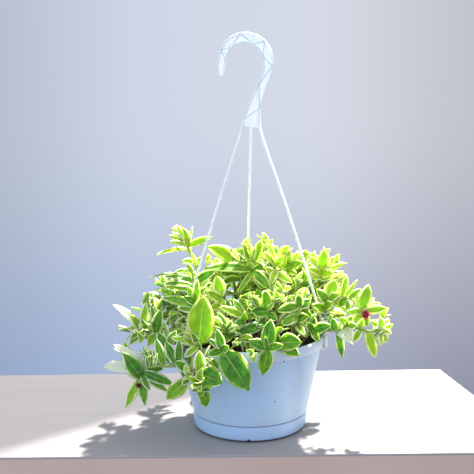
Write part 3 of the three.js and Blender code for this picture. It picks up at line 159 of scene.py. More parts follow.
# %% Rings of corners and the faces between them
def ring_of(centre, across, other, radius, sides):
    return [centre + around(across, other, 360 * s / sides) * radius for s in range(sides)]


def tube_faces(sides, rings, first, turned_over):
    """Faces between rings of corners that follow each other. First is the number of the first corner."""
    faces = []
    for i in range(rings - 1):
        for s in range(sides):
            a = first + i * sides + s
            b = first + i * sides + (s + 1) % sides
            faces.append((a, a + sides, b + sides, b) if turned_over else (a, b, b + sides, a + sides))
    return faces


def closed_tube(sides, rings, turned_over=False):
    """A tube with one flat face at each end."""
    low = tuple(range(sides))
    high = tuple((rings - 1) * sides + s for s in range(sides))
    ends = [low, high[::-1]] if turned_over else [high, low[::-1]]
    return tube_faces(sides, rings, 0, turned_over) + ends


def domed_tube(sides, rings, turned_over=False):
    """A tube between two single corners, the first of all and the last of all."""
    faces = tube_faces(sides, rings, 1, turned_over)
    last = 1 + (rings - 1) * sides
    for s in range(sides):
        after = (s + 1) % sides
        for a, b, c in ((0, 1 + after, 1 + s), (last + s, last + after, last + sides)):
            faces.append((a, c, b) if turned_over else (a, b, c))
    return faces


def join_skins(skins):
    """One list of corners and one of faces from several."""
    corners = []
    faces = []
    for points, sides in skins:
        start = len(corners)
        corners.extend(points)
        faces.extend(tuple(start + k for k in side) for side in sides)
    return corners, faces


print("a closed tube of 9 sides and 4 rings has", len(closed_tube(9, 4)), "faces")


# %% Turning point lists into a Blender object
def add_piece(name, points_mm, faces, materials, smooth=True):
    """A mesh object from points in millimetres."""
    mesh = bpy.data.meshes.new(name)
    mesh.from_pydata((np.asarray(points_mm) * MM).tolist(), [], faces)
    mesh.polygons.foreach_set("use_smooth", [smooth] * len(mesh.polygons))
    for each in materials:
        mesh.materials.append(each)
    mesh.update()
    piece = bpy.data.objects.new(name, mesh)
    bpy.context.scene.collection.objects.link(piece)
    return piece


def add_marked_piece(name, parts, materials):
    """Joins parts into one piece. A part is its skin with marks, its tone and the number of its material."""
    corners, faces = join_skins([skin[:2] for skin, tone, kind in parts])
    marks = [mark for skin, tone, kind in parts for mark in skin[2]]
    tones = [tone for skin, tone, kind in parts for mark in skin[2]]
    kinds = [kind for skin, tone, kind in parts for face in skin[1]]
    piece = add_piece(name, corners, faces, materials)
    piece.data.polygons.foreach_set("material_index", kinds)
    for layer_name, values in (("leaf_place", marks), ("leaf_tone", tones)):
        layer = piece.data.attributes.new(layer_name, "FLOAT_VECTOR", "POINT")
        layer.data.foreach_set("vector", np.array(values, dtype=np.float32).ravel())
    return piece


def combine(piece, operation, tool, within_itself=False):
    """Joins the tool to the piece or cuts it away, and removes the tool."""
    step_of = piece.modifiers.new(operation, "BOOLEAN")
    step_of.operation = operation
    step_of.use_self = within_itself
    step_of.object = tool
    made = bpy.data.meshes.new_from_object(piece.evaluated_get(bpy.context.evaluated_depsgraph_get()))
    piece.modifiers.clear()
    piece.data = made
    bpy.data.objects.remove(tool)


def finish_piece(piece, solid):
    """The piece rides with the plant and takes the place of the named solid."""
    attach(piece, "root")
    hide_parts(solid)


# %% [markdown]
# ## Material helpers
# A material is a tree of small nodes. The helpers below each add one kind of node and hand back its output,
# so that a pattern can be written down in the order in which it is thought: noise, a step in it, a blend of
# colours.


# %% Adding nodes
def new_material(name):
    material = bpy.data.materials.new(name)
    material.use_nodes = True
    tree = material.node_tree
    surface = tree.nodes["Principled BSDF"]
    return material, tree, surface


def node(tree, kind, settings=None, **inputs):
    """Adds a shader node. Settings are its own options, inputs are socket values or links."""
    made = tree.nodes.new(kind)
    for option, value in (settings or {}).items():
        setattr(made, option, value)
    for socket, value in inputs.items():
        key = int(socket[1:]) if socket[0] == "i" and socket[1:].isdigit() else socket.replace("_", " ")
        if isinstance(value, bpy.types.NodeSocket):
            tree.links.new(value, made.inputs[key])
        else:
            made.inputs[key].default_value = value
    return made


def math_node(tree, operation, a, b=0.0):
    return node(tree, "ShaderNodeMath", {"operation": operation}, i0=a, i1=b).outputs[0]


def times(tree, a, b):
    return math_node(tree, "MULTIPLY", a, b)


def plus(tree, a, b):
    return math_node(tree, "ADD", a, b)


def minus(tree, a, b):
    return math_node(tree, "SUBTRACT", a, b)


def blend(tree, factor, first, second, share=1.0):
    """Mixes two colours. The share makes the factor weaker."""
    if share != 1.0:
        factor = times(tree, factor, share)
    return node(tree, "ShaderNodeMix", {"data_type": "RGBA"}, i0=factor, i6=first, i7=second).outputs[2]


def noise(tree, vector, scale, detail=3.0, roughness=0.55, distortion=0.0):
    settings = {"Scale": scale, "Detail": detail, "Roughness": roughness, "Distortion": distortion}
    return node(tree, "ShaderNodeTexNoise", Vector=vector, **settings).outputs["Fac"]


def step(tree, value, low, high):
    """0 below low, 1 above high, and a soft slope between them."""
    settings = {"interpolation_type": "SMOOTHSTEP"}
    return node(tree, "ShaderNodeMapRange", settings, Value=value, From_Min=low, From_Max=high).outputs[0]


def fall(tree, value, low, high):
    """1 below low and 0 above high."""
    return minus(tree, 1.0, step(tree, value, low, high))


def place(tree):
    """The point on the object, in metres."""
    return node(tree, "ShaderNodeTexCoord").outputs["Object"]


def stretched(tree, vector, *stretch):
    return node(tree, "ShaderNodeMapping", Vector=vector, Scale=stretch).outputs[0]


def stored(tree, name):
    """The three numbers that each corner of the piece carries under that name."""
    return node(tree, "ShaderNodeAttribute", {"attribute_name": name}).outputs["Vector"]


def parts_of(tree, vector):
    return node(tree, "ShaderNodeSeparateXYZ", Vector=vector).outputs


def bump(tree, height, strength, distance, under=None):
    made = node(tree, "ShaderNodeBump", Height=height, Strength=strength, Distance=distance)
    if under is not None:
        tree.links.new(under, made.inputs["Normal"])
    return made.outputs["Normal"]


def colour(hexcode):
    """A linear colour from an ordinary screen colour such as 7fae3a."""
    parts = [int(hexcode[i : i + 2], 16) / 255 for i in (0, 2, 4)]
    return tuple(c / 12.92 if c <= 0.04045 else ((c + 0.055) / 1.055) ** 2.4 for c in parts) + (1.0,)


def dress(tree, surface, tint, relief, rough, glow=None):
    """Joins colour, relief and roughness to the surface. Glow is how much light goes in and how far."""
    tree.links.new(tint, surface.inputs["Base Color"])
    tree.links.new(relief, surface.inputs["Normal"])
    if isinstance(rough, float):
        surface.inputs["Roughness"].default_value = rough
    else:
        tree.links.new(rough, surface.inputs["Roughness"])
    for socket, value in zip(("Weight", "Radius", "Scale"), glow or ()):
        surface.inputs["Subsurface " + socket].default_value = value


print("a middle green:", [round(c, 3) for c in colour("7fae3a")])

# %% [markdown]
# ## Camera, table and light
# The plant stands on a pale table in front of a pale blue-grey wall, in bright, soft daylight that comes
# from the right and from behind. Light from behind is what makes the thin cream margins of the leaves glow.
# The camera looks slightly down, from far enough away that the pot's collar is a flat ellipse.

# %% Camera
CAMERA_AT = (0.0, -1.040, 0.3973)
CAMERA_DOWN = 10.8  # degrees below level
LENS = 78.7
FRAME_PIXELS = 474
PLANT_RIGHT_OF_CENTRE = 13.1  # pixels that the pot's axis stands right of the frame's middle

camera_data = bpy.data.cameras.new("camera")
camera_data.lens = LENS
camera_data.shift_x = -PLANT_RIGHT_OF_CENTRE / FRAME_PIXELS
camera = bpy.data.objects.new("camera", camera_data)
camera.location = CAMERA_AT
camera.rotation_euler = (math.radians(90 - CAMERA_DOWN), 0, 0)
bpy.context.scene.collection.objects.link(camera)
bpy.context.scene.camera = camera
print("camera", CAMERA_AT, "looks", CAMERA_DOWN, "degrees down")

# %% Table
# The slab's four corners, in millimetres: it lies a little askew to the camera.
TABLE_CORNERS = [(-900, -112), (292, -81), (233, 179), (-900, 128)]
TABLE_TOP = -0.2
TABLE_THICK = 30.0
TABLE_ROUNDING = 0.0012
TOP_EDGE = (-0.0032, -0.0022)  # the heights between which the side's colour turns into the top's


def table_material():
    material, tree, surface = new_material("pale_table")
    at = place(tree)
    grain = noise(tree, stretched(tree, at, 1.2, 14.0, 1.0), 5.0, 5.0)
    top = blend(tree, grain, colour("9e9797"), colour("aca7a7"))
    side = blend(tree, grain, colour("ccaea0"), colour("e6c8b8"))
    near_top = step(tree, parts_of(tree, at)[2], *TOP_EDGE)
    dress(tree, surface, blend(tree, near_top, side, top), bump(tree, grain, 0.05, 0.001), 0.6)
    return material


slab = [vec(x, y, z) for z in (-TABLE_THICK, TABLE_TOP) for x, y in TABLE_CORNERS]
table = add_piece("table", slab, closed_tube(4, 2), [table_material()], smooth=False)
edge = table.modifiers.new("soft_edge", "BEVEL")
edge.width = TABLE_ROUNDING
edge.segments = 2
print("table corners:", TABLE_CORNERS)

# %% A gauze card beside the window
# Out of the picture, a card of gauze keeps some of the sun off the far left of the table.
CARD_HEIGHT = 600
CARD_SHADES = [(-333, -171), (27, 147), (-400, 600), (-1200, 100)]  # corners of its shadow on the table
WINDOW_AT = vec(577, 987, 1668)


def towards_window(x, y):
    """The point at the card's height on the line from a point of the table to the window."""
    spot = vec(x, y, 0)
    return spot + (WINDOW_AT - spot) * (CARD_HEIGHT / WINDOW_AT[2])


gauze, gauze_tree, gauze_surface = new_material("gauze")
gauze_surface.inputs["Base Color"].default_value = colour("d8d8d8")
gauze_surface.inputs["Alpha"].default_value = 0.78
card_corners = [towards_window(*spot) for spot in CARD_SHADES]
card = add_piece("window_side", card_corners, [(0, 1, 2, 3)], [gauze], smooth=False)
card.visible_camera = False
print("card's first corner:", towards_window(*CARD_SHADES[0]).round(1))

# %% Wall
# The wall is a far backdrop: paler above than below, bluer at the left, and a little dimmer to both sides.
world = bpy.data.worlds.new("daylight")
bpy.context.scene.world = world
world.use_nodes = True
sky = world.node_tree
heading = parts_of(sky, node(sky, "ShaderNodeTexCoord").outputs["Generated"])
sideways = step(sky, heading[0], -0.2, 0.2)
low_wall = blend(sky, sideways, colour("a3bae2"), colour("9fa4bc"))
high_wall = blend(sky, sideways, colour("d1dbec"), colour("dee1ec"))
wall = blend(sky, step(sky, heading[2], -0.4, -0.06), low_wall, high_wall)
from_middle = math_node(sky, "ABSOLUTE", plus(sky, heading[0], 0.02))
dim = minus(sky, step(sky, from_middle, 0.06, 0.26), step(sky, from_middle, 0.26, 0.5))
wall = blend(sky, dim, wall, colour("000000"), 0.24)
sky.links.new(wall, sky.nodes["Background"].inputs["Color"])
sky.nodes["Background"].inputs["Strength"].default_value = 0.95
print("nodes in the wall's tree:", len(sky.nodes))

# %% Lights
PLANT_MIDDLE = (0, 0, 0.15)
LIGHTS = [  # name, place in metres, size, watts and colour
    ("window", WINDOW_AT * MM, 0.07, 190, (1.0, 0.97, 0.9)),
    ("room", (-0.8, -1.3, 0.9), 1.2, 7.0, (0.74, 0.89, 1.0)),
    ("over", (0.1, -0.2, 1.4), 0.9, 2.6, (1.0, 0.98, 0.9)),
]
for name, at, size, watts, tint in LIGHTS:
    data = bpy.data.lights.new(name, "AREA")
    data.size = size
    data.energy = watts
    data.color = tint
    lamp = bpy.data.objects.new(name, data)
    lamp.location = at
    lamp.rotation_euler = (Vector(PLANT_MIDDLE) - Vector(at)).to_track_quat("-Z", "Y").to_euler()
    bpy.context.scene.collection.objects.link(lamp)
bpy.context.scene.view_settings.view_transform = "Standard"

# %% [markdown]
# ## Where each leaf grows
# A baby sun rose trails: each long stem leaves the soil, climbs a little and then leans out over the
# collar. The frame's solids hold one leaf for each entry below. For the stems at the front, every leaf has
# its place: how far up the stem it sits, the x, y and z of its tip, its width and the roll of its face in
# degrees. Leaves that had no room in the solids were left out, so each leaf is looked up in its own solid
# before it is made again.

# %% The stems at the front
FRONT_STEMS = [
    ("shoot_top_left", [
        (-34, 2, 96), (-47, -8, 129), (-53, -12, 164), (-60, -12, 182), (-64, -12, 194),
    ], [
        (0.85, -96, -16, 183, 10, 40), (0.89, -69, -14, 212, 11, 30), (0.92, -58, -8, 212, 4, 0),
        (0.94, -38, -14, 202, 8, 10), (1.0, -83, -16, 204, 6, 0), (0.97, -80, -6, 206, 6, 20),
        (1.0, -74, -12, 213, 6, 0), (0.94, -82, -22, 199, 6, 0), (0.57, -59, -16, 186, 6, 0),
        (0.56, -50, -8, 180, 7, 0), (0.64, -70, -14, 176, 8, 10),
    ]),
    ("shoot_left_curl", [
        (-46, -8, 96), (-48, -14, 117), (-54, -18, 141), (-57, -18, 158), (-59, -18, 167),
    ], [
        (1.0, -79, -14, 163, 7, 30), (0.77, -105, -22, 160, 8, 50), (0.71, -87, -28, 164, 8, 20),
        (0.92, -64, -24, 178, 6, 0), (0.63, -89, -20, 154, 8, 20), (0.56, -90, -30, 150, 9, 25),
        (0.68, -33, -28, 171, 11, 0), (0.49, -43, -26, 153, 9, 0),
    ]),
    ("shoot_left_cluster", [
        (-42, -30, 96), (-43, -46, 114), (-51, -52, 134), (-55, -52, 146),
    ], [
        (0.9, -61, -54, 160, 9, 0), (0.87, -51, -56, 168, 9, 0), (0.85, -65, -58, 152, 8, 0),
        (0.79, -88, -44, 146, 11, 10), (0.7, -72, -54, 138, 9, 0), (0.79, -41, -58, 147, 9, 0),
    ]),
    ("shoot_big_leaf", [
        (-34, -46, 96), (-39, -58, 104), (-44, -67, 107), (-50, -73, 106),
    ], [
        (0.95, -45, -62, 153, 28, 0), (1.0, -57, -78, 121, 7, 0), (1.0, -50, -80, 112, 8, 0),
        (1.0, -66, -72, 114, 9, 0), (1.0, -78, -66, 112, 9, 10), (1.0, -64, -80, 95, 8, 0),
    ]),
    ("shoot_arch", [
        (16, 10, 96), (13, 12, 132), (15, 10, 157), (7, 6, 171), (-9, 2, 173), (-18, 0, 174),
    ], [
        (1.0, -44, -6, 190, 16, 10), (0.83, -30, 8, 189, 8, 30), (0.75, -17, 10, 180, 6, 0),
        (0.71, -7, -2, 194, 6, 0), (0.68, -1, 4, 191, 5, 0), (0.67, 6, -4, 190, 6, 0),
        (0.65, 12, 2, 196, 11, 10), (0.52, 1, -6, 156, 10, 0), (0.43, 27, 4, 174, 8, 0),
    ]),
    ("shoot_long_leaf", [
        (-16, -8, 96), (-12, -8, 127), (7, -2, 138), (13, 0, 153), (3, -4, 165),
    ], [
        (1.0, -47, -8, 167, 13, 20), (0.93, 13, -10, 146, 10, 0), (0.99, 21, -16, 147, 11, 0),
        (0.92, 24, -2, 153, 10, 0), (0.99, -14, -12, 141, 6, 0),
    ]),
    ("shoot_gap_left", [
        (-28, -16, 96), (-29, -22, 117), (-29, -24, 136), (-31, -24, 145),
    ], [
        (0.8, -34, -26, 165, 15, 10), (0.74, -44, -32, 150, 12, 0), (0.68, -24, -34, 135, 8, 0),
        (0.59, -42, -30, 130, 10, 0),
    ]),
    ("shoot_top_middle", [
        (24, 2, 96), (23, 0, 133), (26, 0, 154), (26, 2, 169),
    ], [
        (1.0, 19, 6, 192, 6, 0), (0.97, 14, -4, 185, 6, 0), (0.97, 35, -6, 181, 8, 10),
        (0.86, 21, -12, 151, 9, 0), (0.82, 44, -10, 153, 9, 20), (0.74, 15, -8, 168, 9, 0),
    ]),
    ("shoot_top_back", [
        (26, 24, 96), (32, 26, 126), (38, 24, 148), (40, 20, 166),
    ], [
        (1.0, 33, 22, 182, 9, 0), (1.0, 41, 12, 183, 8, 0), (0.95, 52, 20, 179, 9, 0),
        (0.9, 55, 8, 171, 10, 0), (0.85, 30, 28, 171, 9, 0), (0.82, 49, 6, 158, 9, 0),
    ]),
    ("shoot_top_right", [
        (42, 16, 96), (62, 18, 119), (71, 18, 141), (75, 14, 159),
    ], [
        (1.0, 77, 14, 184, 15, 0), (1.0, 89, 18, 175, 9, 0), (0.97, 101, 10, 170, 6, 0),
        (0.97, 62, 12, 176, 9, 0), (0.93, 87, 2, 160, 12, 0), (0.91, 58, 4, 166, 9, 0),
        (0.86, 63, 0, 155, 9, 10), (0.84, 82, -4, 154, 10, 0),
    ]),
    ("shoot_right_round", [
        (46, -4, 96), (71, -8, 116), (78, -12, 129), (81, -12, 139),
    ], [
        (0.87, 87, -8, 156, 17, 0), (0.77, 67, -18, 149, 11, 0), (0.64, 84, -24, 135, 12, 0),
        (0.52, 61, -26, 136, 12, 0), (0.87, 92, -14, 145, 9, 0),
    ]),
    ("shoot_right_bloom", [
        (52, 8, 96), (75, 4, 119), (89, 0, 134), (102, -2, 134), (112, -6, 127), (117, -15, 121.6),
    ], [
        (0.48, 100, 4, 157, 9, 0), (0.53, 111, 2, 154, 5, 0), (0.59, 116, 6, 143, 8, 0),
        (0.55, 91, -8, 127, 10, 0), (0.63, 98, -14, 125, 8, 0), (0.88, 122, -2, 150, 13, 0),
        (0.91, 135, -4, 130, 9, 0), (0.92, 141, -8, 126, 10, 0), (0.92, 97, -16, 123, 8, 0),
        (0.92, 104, -20, 110, 11, 0), (0.92, 121, -22, 106, 10, 0), (0.85, 109, 2, 138, 9, 0),
        (0.91, 129, 4, 134, 7, 0),
    ]),
    ("shoot_far_right", [
        (54, -14, 96), (84, -16, 110), (102, -22, 110), (118, -26, 107), (128, -28, 107), (134, -28, 107),
    ], [
        (1.0, 145, -26, 114, 7, 0), (1.0, 143, -34, 106, 7, 0), (0.95, 138, -32, 96, 8, 0),
        (0.91, 131, -36, 95, 7, 0), (1.0, 141, -22, 119, 8, 0), (0.95, 131, -28, 123, 8, 0),
        (0.88, 122, -30, 119, 8, 0), (0.95, 125, -24, 97, 7, 0), (1.0, 136, -40, 113, 6, 0),
        (0.6, 127, -30, 80, 12, 0), (0.52, 104, -30, 96, 9, 0), (0.5, 114, -28, 121, 8, 0),
    ]),
    ("shoot_right_front", [
        (42, -26, 96), (70, -28, 107), (86, -44, 113), (96, -46, 119),
    ], [
        (0.98, 89, -44, 126, 8, 0), (0.98, 102, -42, 127, 8, 0), (0.98, 106, -48, 119, 8, 0),
        (0.95, 90, -54, 115, 7, 0), (0.9, 101, -50, 105, 9, 0), (0.98, 95, -54, 126, 6, 0),
        (0.69, 92, -46, 84, 9, 0), (0.62, 103, -56, 101, 5, 20), (0.62, 82, -42, 125, 9, 0),
    ]),
    ("shoot_right_inner", [
        (32, -30, 96), (43, -40, 110), (47, -48, 125), (48, -50, 139),
    ], [
        (1.0, 26, -54, 135, 11, 0), (0.93, 48, -48, 151, 10, 0), (0.75, 30, -58, 122, 11, 0),
        (0.66, 58, -54, 130, 11, 0), (0.6, 56, -50, 107, 10, 0), (0.52, 53, -58, 112, 8, 0),
        (0.93, 60, -44, 144, 10, 0),
    ]),
    ("shoot_strand_end", [
        (52, -34, 96), (58, -42, 108), (63, -48, 114),
    ], [
        (1.0, 80, -58, 122, 11, 0), (0.86, 56, -52, 123, 9, 0), (0.82, 68, -54, 104, 8, 0),
    ]),
    ("shoot_front_right", [
        (20, -50, 96), (24, -64, 102), (28, -72, 108),
    ], [
        (1.0, 50, -80, 111, 18, 0), (0.88, 48, -76, 96, 14, 0), (0.87, 22, -70, 120, 9, 0),
    ]),
    ("shoot_front_cross", [
        (8, -56, 96), (12, -74, 106), (17, -86, 106),
    ], [
        (0.9, 20, -82, 135, 15, 0), (1.0, 12, -92, 82, 15, 0), (0.9, -2, -84, 114, 12, 0),
        (0.96, 32, -92, 112, 9, 0), (0.96, 14, -94, 122, 6, 0),
    ]),
    ("shoot_centre", [
        (4, -26, 96), (8, -38, 106), (16, -46, 126), (17, -46, 135),
    ], [
        (1.0, 15, -44, 154, 12, 0), (0.85, 1, -54, 135, 14, 0), (0.78, 27, -58, 126, 9, 0),
        (0.94, 24, -46, 143, 6, 0), (0.53, -18, -56, 111, 12, 0), (0.58, 6, -60, 120, 9, 0),
    ]),
    ("shoot_centre_left", [
        (-12, -34, 96), (-6, -44, 107), (-5, -48, 120), (-6, -48, 128),
    ], [
        (0.97, -31, -48, 138, 9, 10), (0.83, -4, -54, 134, 8, 0), (0.61, -6, -60, 127, 9, 0),
        (0.91, -17, -40, 143, 9, 0), (0.75, -17, -58, 122, 9, 0),
    ]),
    ("shoot_left_inner", [
        (-24, -40, 96), (-20, -50, 108), (-22, -56, 115),
    ], [
        (1.0, -38, -60, 126, 9, 0), (1.0, -18, -58, 127, 8, 0), (0.94, -13, -64, 122, 6, 0),
        (1.0, -32, -52, 134, 8, 0),
    ]),
    ("shoot_rim_leaf", [
        (-18, -56, 96), (-21, -74, 102), (-27, -84, 104),
    ], [
        (0.95, -1, -94, 67, 27, 0), (1.0, -41, -90, 101, 9, 0), (1.0, -20, -88, 110, 9, 0),
        (1.0, -32, -84, 126, 10, 0), (0.92, -41, -82, 116, 6, 0),
    ]),
    ("shoot_low_front", [
        (-32, -54, 96), (-35, -64, 105), (-39, -76, 106), (-46, -92, 95), (-48, -94, 82), (-46, -95, 71),
    ], [
        (0.74, -48, -96, 108, 13, 0), (0.77, -26, -102, 77, 23, 0), (0.83, -50, -100, 91, 7, 0),
        (0.97, -43, -102, 84, 8, 0), (0.99, -37, -102, 70, 8, 0), (0.99, -55, -102, 69, 8, 0),
        (0.99, -48, -102, 63, 8, 0), (0.97, -39, -98, 78, 8, 0), (0.97, -54, -98, 76, 8, 0),
        (0.99, -42, -92, 50, 12, 0), (0.62, -39, -94, 99, 7, 0),
    ]),
    ("shoot_low_left", [
        (-44, -44, 96), (-47, -54, 105), (-50, -66, 106), (-57, -84, 89), (-60, -86, 75),
    ], [
        (0.84, -72, -88, 95, 11, 0), (1.0, -81, -84, 55, 16, 0), (0.95, -67, -92, 85, 7, 0),
        (1.0, -59, -94, 86, 6, 0), (1.0, -65, -94, 72, 7, 0), (0.73, -63, -80, 100, 9, 0),
    ]),
    ("shoot_trail_left", [
        (-52, -32, 96), (-57, -42, 105), (-62, -55, 105), (-70, -76, 88), (-87, -76, 86), (-101, -72, 83),
        (-107, -69, 72), (-107, -75, 70),
    ], [
        (0.42, -68, -80, 115, 9, 0), (0.44, -82, -74, 111, 11, 0), (0.46, -84, -84, 104, 8, 0),
        (0.54, -92, -66, 111, 10, 0), (0.72, -134, -66, 105, 10, 20), (0.73, -145, -62, 81, 14, 0),
        (0.86, -123, -80, 101, 17, 0), (0.85, -128, -76, 82, 11, 0), (0.85, -122, -72, 42, 11, 0),
        (0.83, -104, -70, 45, 10, 0), (0.79, -75, -70, 65, 11, 0), (0.81, -80, -76, 57, 8, 0),
        (0.73, -85, -64, 79, 8, 0), (0.66, -104, -74, 105, 5, 0), (0.65, -97, -70, 103, 5, 0),
        (0.63, -89, -80, 101, 5, 0), (0.69, -100, -82, 98, 5, 0), (0.82, -112, -80, 64, 9, 0),
        (0.82, -96, -84, 62, 8, 0),
    ]),
    ("shoot_left_rosette", [
        (-58, -12, 96), (-68, -30, 107), (-88, -36, 107), (-102, -38, 108), (-109, -38, 113),
    ], [
        (1.0, -138, -34, 137, 10, 20), (0.87, -104, -40, 141, 10, 0), (1.0, -119, -44, 129, 10, 0),
        (1.0, -122, -40, 114, 8, 0), (0.94, -119, -46, 105, 8, 0), (0.84, -122, -38, 96, 9, 0),
        (0.61, -88, -42, 135, 13, 0), (0.51, -78, -50, 131, 5, 30), (0.56, -102, -50, 98, 11, 0),
        (0.57, -100, -30, 137, 7, 0), (0.75, -108, -50, 127, 8, 0),
    ]),
    ("shoot_left_middle", [
        (-52, 2, 96), (-59, -6, 115), (-73, -14, 126), (-82, -18, 128),
    ], [
        (0.94, -91, -12, 139, 9, 0), (0.85, -93, -26, 124, 11, 0), (0.72, -80, -32, 118, 11, 0),
        (0.66, -68, -26, 143, 10, 0), (0.57, -69, -30, 114, 12, 0), (0.94, -99, -14, 130, 9, 0),
    ]),
    ("shoot_left_low", [
        (-58, -24, 96), (-63, -50, 104), (-76, -58, 103), (-85, -60, 101),
    ], [
        (0.9, -91, -58, 115, 10, 0), (0.79, -72, -62, 118, 10, 0), (0.9, -95, -62, 96, 9, 0),
        (0.6, -64, -60, 115, 9, 0),
    ]),
]
print("front stems:", len(FRONT_STEMS), "leaves:", sum(len(tips) for _, _, tips in FRONT_STEMS))

# %% The stems that fill the middle and the back
FILL_STEMS = [  # name, azimuth in degrees, root radius, reach, rise and drop
    ("shoot_back_1", 24, 58, 110, 38, 26),
    ("shoot_back_2", 32, 44, 86, 62, 12),
    ("shoot_back_3", 52, 56, 112, 30, 34),
    ("shoot_back_4", 66, 30, 74, 66, 8),
    ("shoot_back_5", 80, 54, 104, 34, 30),
    ("shoot_back_6", 100, 58, 116, 26, 40),
    ("shoot_back_7", 114, 32, 78, 58, 10),
    ("shoot_back_8", 128, 56, 110, 32, 34),
    ("shoot_back_9", 146, 34, 86, 50, 12),
    ("shoot_back_10", 158, 58, 118, 26, 34),
    ("shoot_back_11", 176, 44, 92, 40, 14),
    ("shoot_middle_1", 70, 8, 26, 56, 4),
    ("shoot_middle_2", 168, 20, 40, 44, 4),
    ("shoot_middle_3", 284, 14, 34, 36, 4),
    ("shoot_middle_4", 325, 26, 50, 44, 6),
    ("shoot_middle_5", 232, 16, 42, 34, 4),
    ("shoot_middle_6", 8, 34, 62, 52, 6),
    ("shoot_middle_7", 110, 14, 40, 58, 4),
]
FILL_PAIRS = 3
STEM_START = 96


def fill_path(index, azimuth, root_radius, reach, rise, drop):
    bend = 14 * (make_draw(900 + index)() - 0.5)
    span = reach - root_radius
    path = []
    for radius, turned, z in (
        (root_radius, 0, STEM_START),
        (root_radius + 0.22 * span, bend * 0.3, STEM_START + 0.72 * rise),
        (root_radius + 0.6 * span, bend * 0.7, STEM_START + rise),
        (reach, bend, STEM_START + rise - drop),
    ):
        path.append(around(EAST, NORTH, azimuth + turned) * radius + UP * z)
    return path


stems = []
for name, path, tips in FRONT_STEMS:
    stems.append({"name": name, "path": [vec(*p) for p in path], "tips": tips, "pairs": 0})
for index, (name, *course) in enumerate(FILL_STEMS):
    stems.append({"name": name, "path": fill_path(index, *course), "tips": [], "pairs": FILL_PAIRS})
for number, stem in enumerate(stems):
    stem["seed"] = number + 1
print("stems:", len(stems))

# %% One listed leaf
NAMED_STEPS = 9
NAMED_ATTEMPTS = 27
STEP_ASIDE = 0.8  # how far the tip may move in x and z with each step
STEP_BACK = 2.6  # how far it moves back or forth with every second step
SHRINK = 0.16  # how much shorter a leaf gets each time that it has gone through all its steps


def named_leaf(stem, order, attempt):
    """A leaf with its own tip. Later attempts move the tip to and fro, then shorten the leaf."""
    at, x, y, z, width, turn = stem["tips"][order]
    seed = stem["seed"] * 1013 + order * 37
    draw = make_draw(seed + 5)
    sway = make_draw(seed + attempt * 7919)
    root = curve_point(stem["path"], at)
    level = attempt % NAMED_STEPS
    side = 1 if level % 2 == 0 else -1
    aside = (sway() - 0.5) * level * STEP_ASIDE
    move = vec(aside, side * math.ceil(level / 2) * STEP_BACK, (sway() - 0.5) * level * STEP_ASIDE)
    share = 1 - SHRINK * (attempt // NAMED_STEPS)
    return dict(
        at=at,
        root=root,
        tip=root + (vec(x, y, z) + move - root) * share,
        width=width * share,
        face=vec(0.12 * (draw() - 0.5), -0.88, 0.45),
        turn=turn,
        arch=0.05 + 0.06 * draw(),
        fold=0.14 + 0.16 * draw(),
        twist=24 * (draw() - 0.5),
    )


print("width of the first leaf:", named_leaf(stems[0], 0, 0)["width"])

# %% One leaf set by rule
RULE_ATTEMPTS = 9
BARE = 0.16  # the lowest share of a stem has no leaves
LAST_PAIR = 0.97
PAIR_OPEN = 68  # degrees that the leaves of a pair lean out from the stem
ODD_LEAVES = 0.3  # how often a pair has an odd small leaf above it
CROWN_LEAVES = 3
CROWN_TURN = 137.5  # degrees from one leaf of a crown to the next
FILL_LEAF_SCALE = 1.14


def rule_slots(stem):
    """Opposite pairs up the stem, each pair a quarter turn from the last, then a small crown."""
    draw = make_draw(stem["seed"] * 71 + 3)
    start = 360 * draw()
    slots = []
    for pair in range(stem["pairs"]):
        at = BARE + (LAST_PAIR - BARE) * (pair + 0.4) / stem["pairs"]
        scale = FILL_LEAF_SCALE * (1.05 - 0.3 * at)
        for half in (0, 1):
            slots.append((at, start + 90 * pair + 180 * half, PAIR_OPEN, scale))
        if draw() < ODD_LEAVES:
            slots.append((at + 0.02, start + 90 * pair + 90 * int(2 * draw()) + 40, 42, 0.45))
    for leaf in range(CROWN_LEAVES if stem["pairs"] else 0):
        scale = 0.5 + 0.22 * draw()
        slots.append((1 - 0.012 * leaf, start + 45 + CROWN_TURN * leaf, 26 + 9 * leaf, scale))
    return slots


def rule_leaf(stem, key, slot, attempt):
    """A leaf in one slot. Each attempt may turn it further round the stem and makes it a little shorter."""
    at, angle, opened, scale = slot
    draw = make_draw(stem["seed"] * 1013 + key * 61 + attempt * 7919 + 11)
    root, along, out = beside(stem["path"], at, angle + (draw() - 0.5) * (36 + 9 * attempt))
    heading = unit(around(along, out, opened + (draw() - 0.5) * 30) - UP * 0.12)
    length = scale * (20 + 9 * draw()) * (1 - 0.045 * attempt)
    return dict(
        at=at,
        root=root,
        tip=root + heading * length,
        width=length * (0.46 + 0.12 * draw()),
        face=along * 0.5 + unit(vec(root[0], root[1], 1)) * 0.5 + UP * 0.9,
        turn=50 * (draw() - 0.5),
        arch=0.04 + 0.1 * draw(),
        fold=0.12 + 0.2 * draw(),
        twist=40 * (draw() - 0.5),
    )


print("leaves on the last stem, at most:", len(rule_slots(stems[-1])))

# %% Which leaves do the solids hold?
NEAR = 0.03  # a leaf is in its solid if the solid has a corner this close to the leaf's tip


def corners_of(name):
    """A lookup of a solid's corners, in millimetres."""
    solid = nodes[name].data.vertices
    tree = KDTree(len(solid))
    for i, corner in enumerate(solid):
        tree.insert(corner.co / MM, i)
    tree.balance()
    return tree


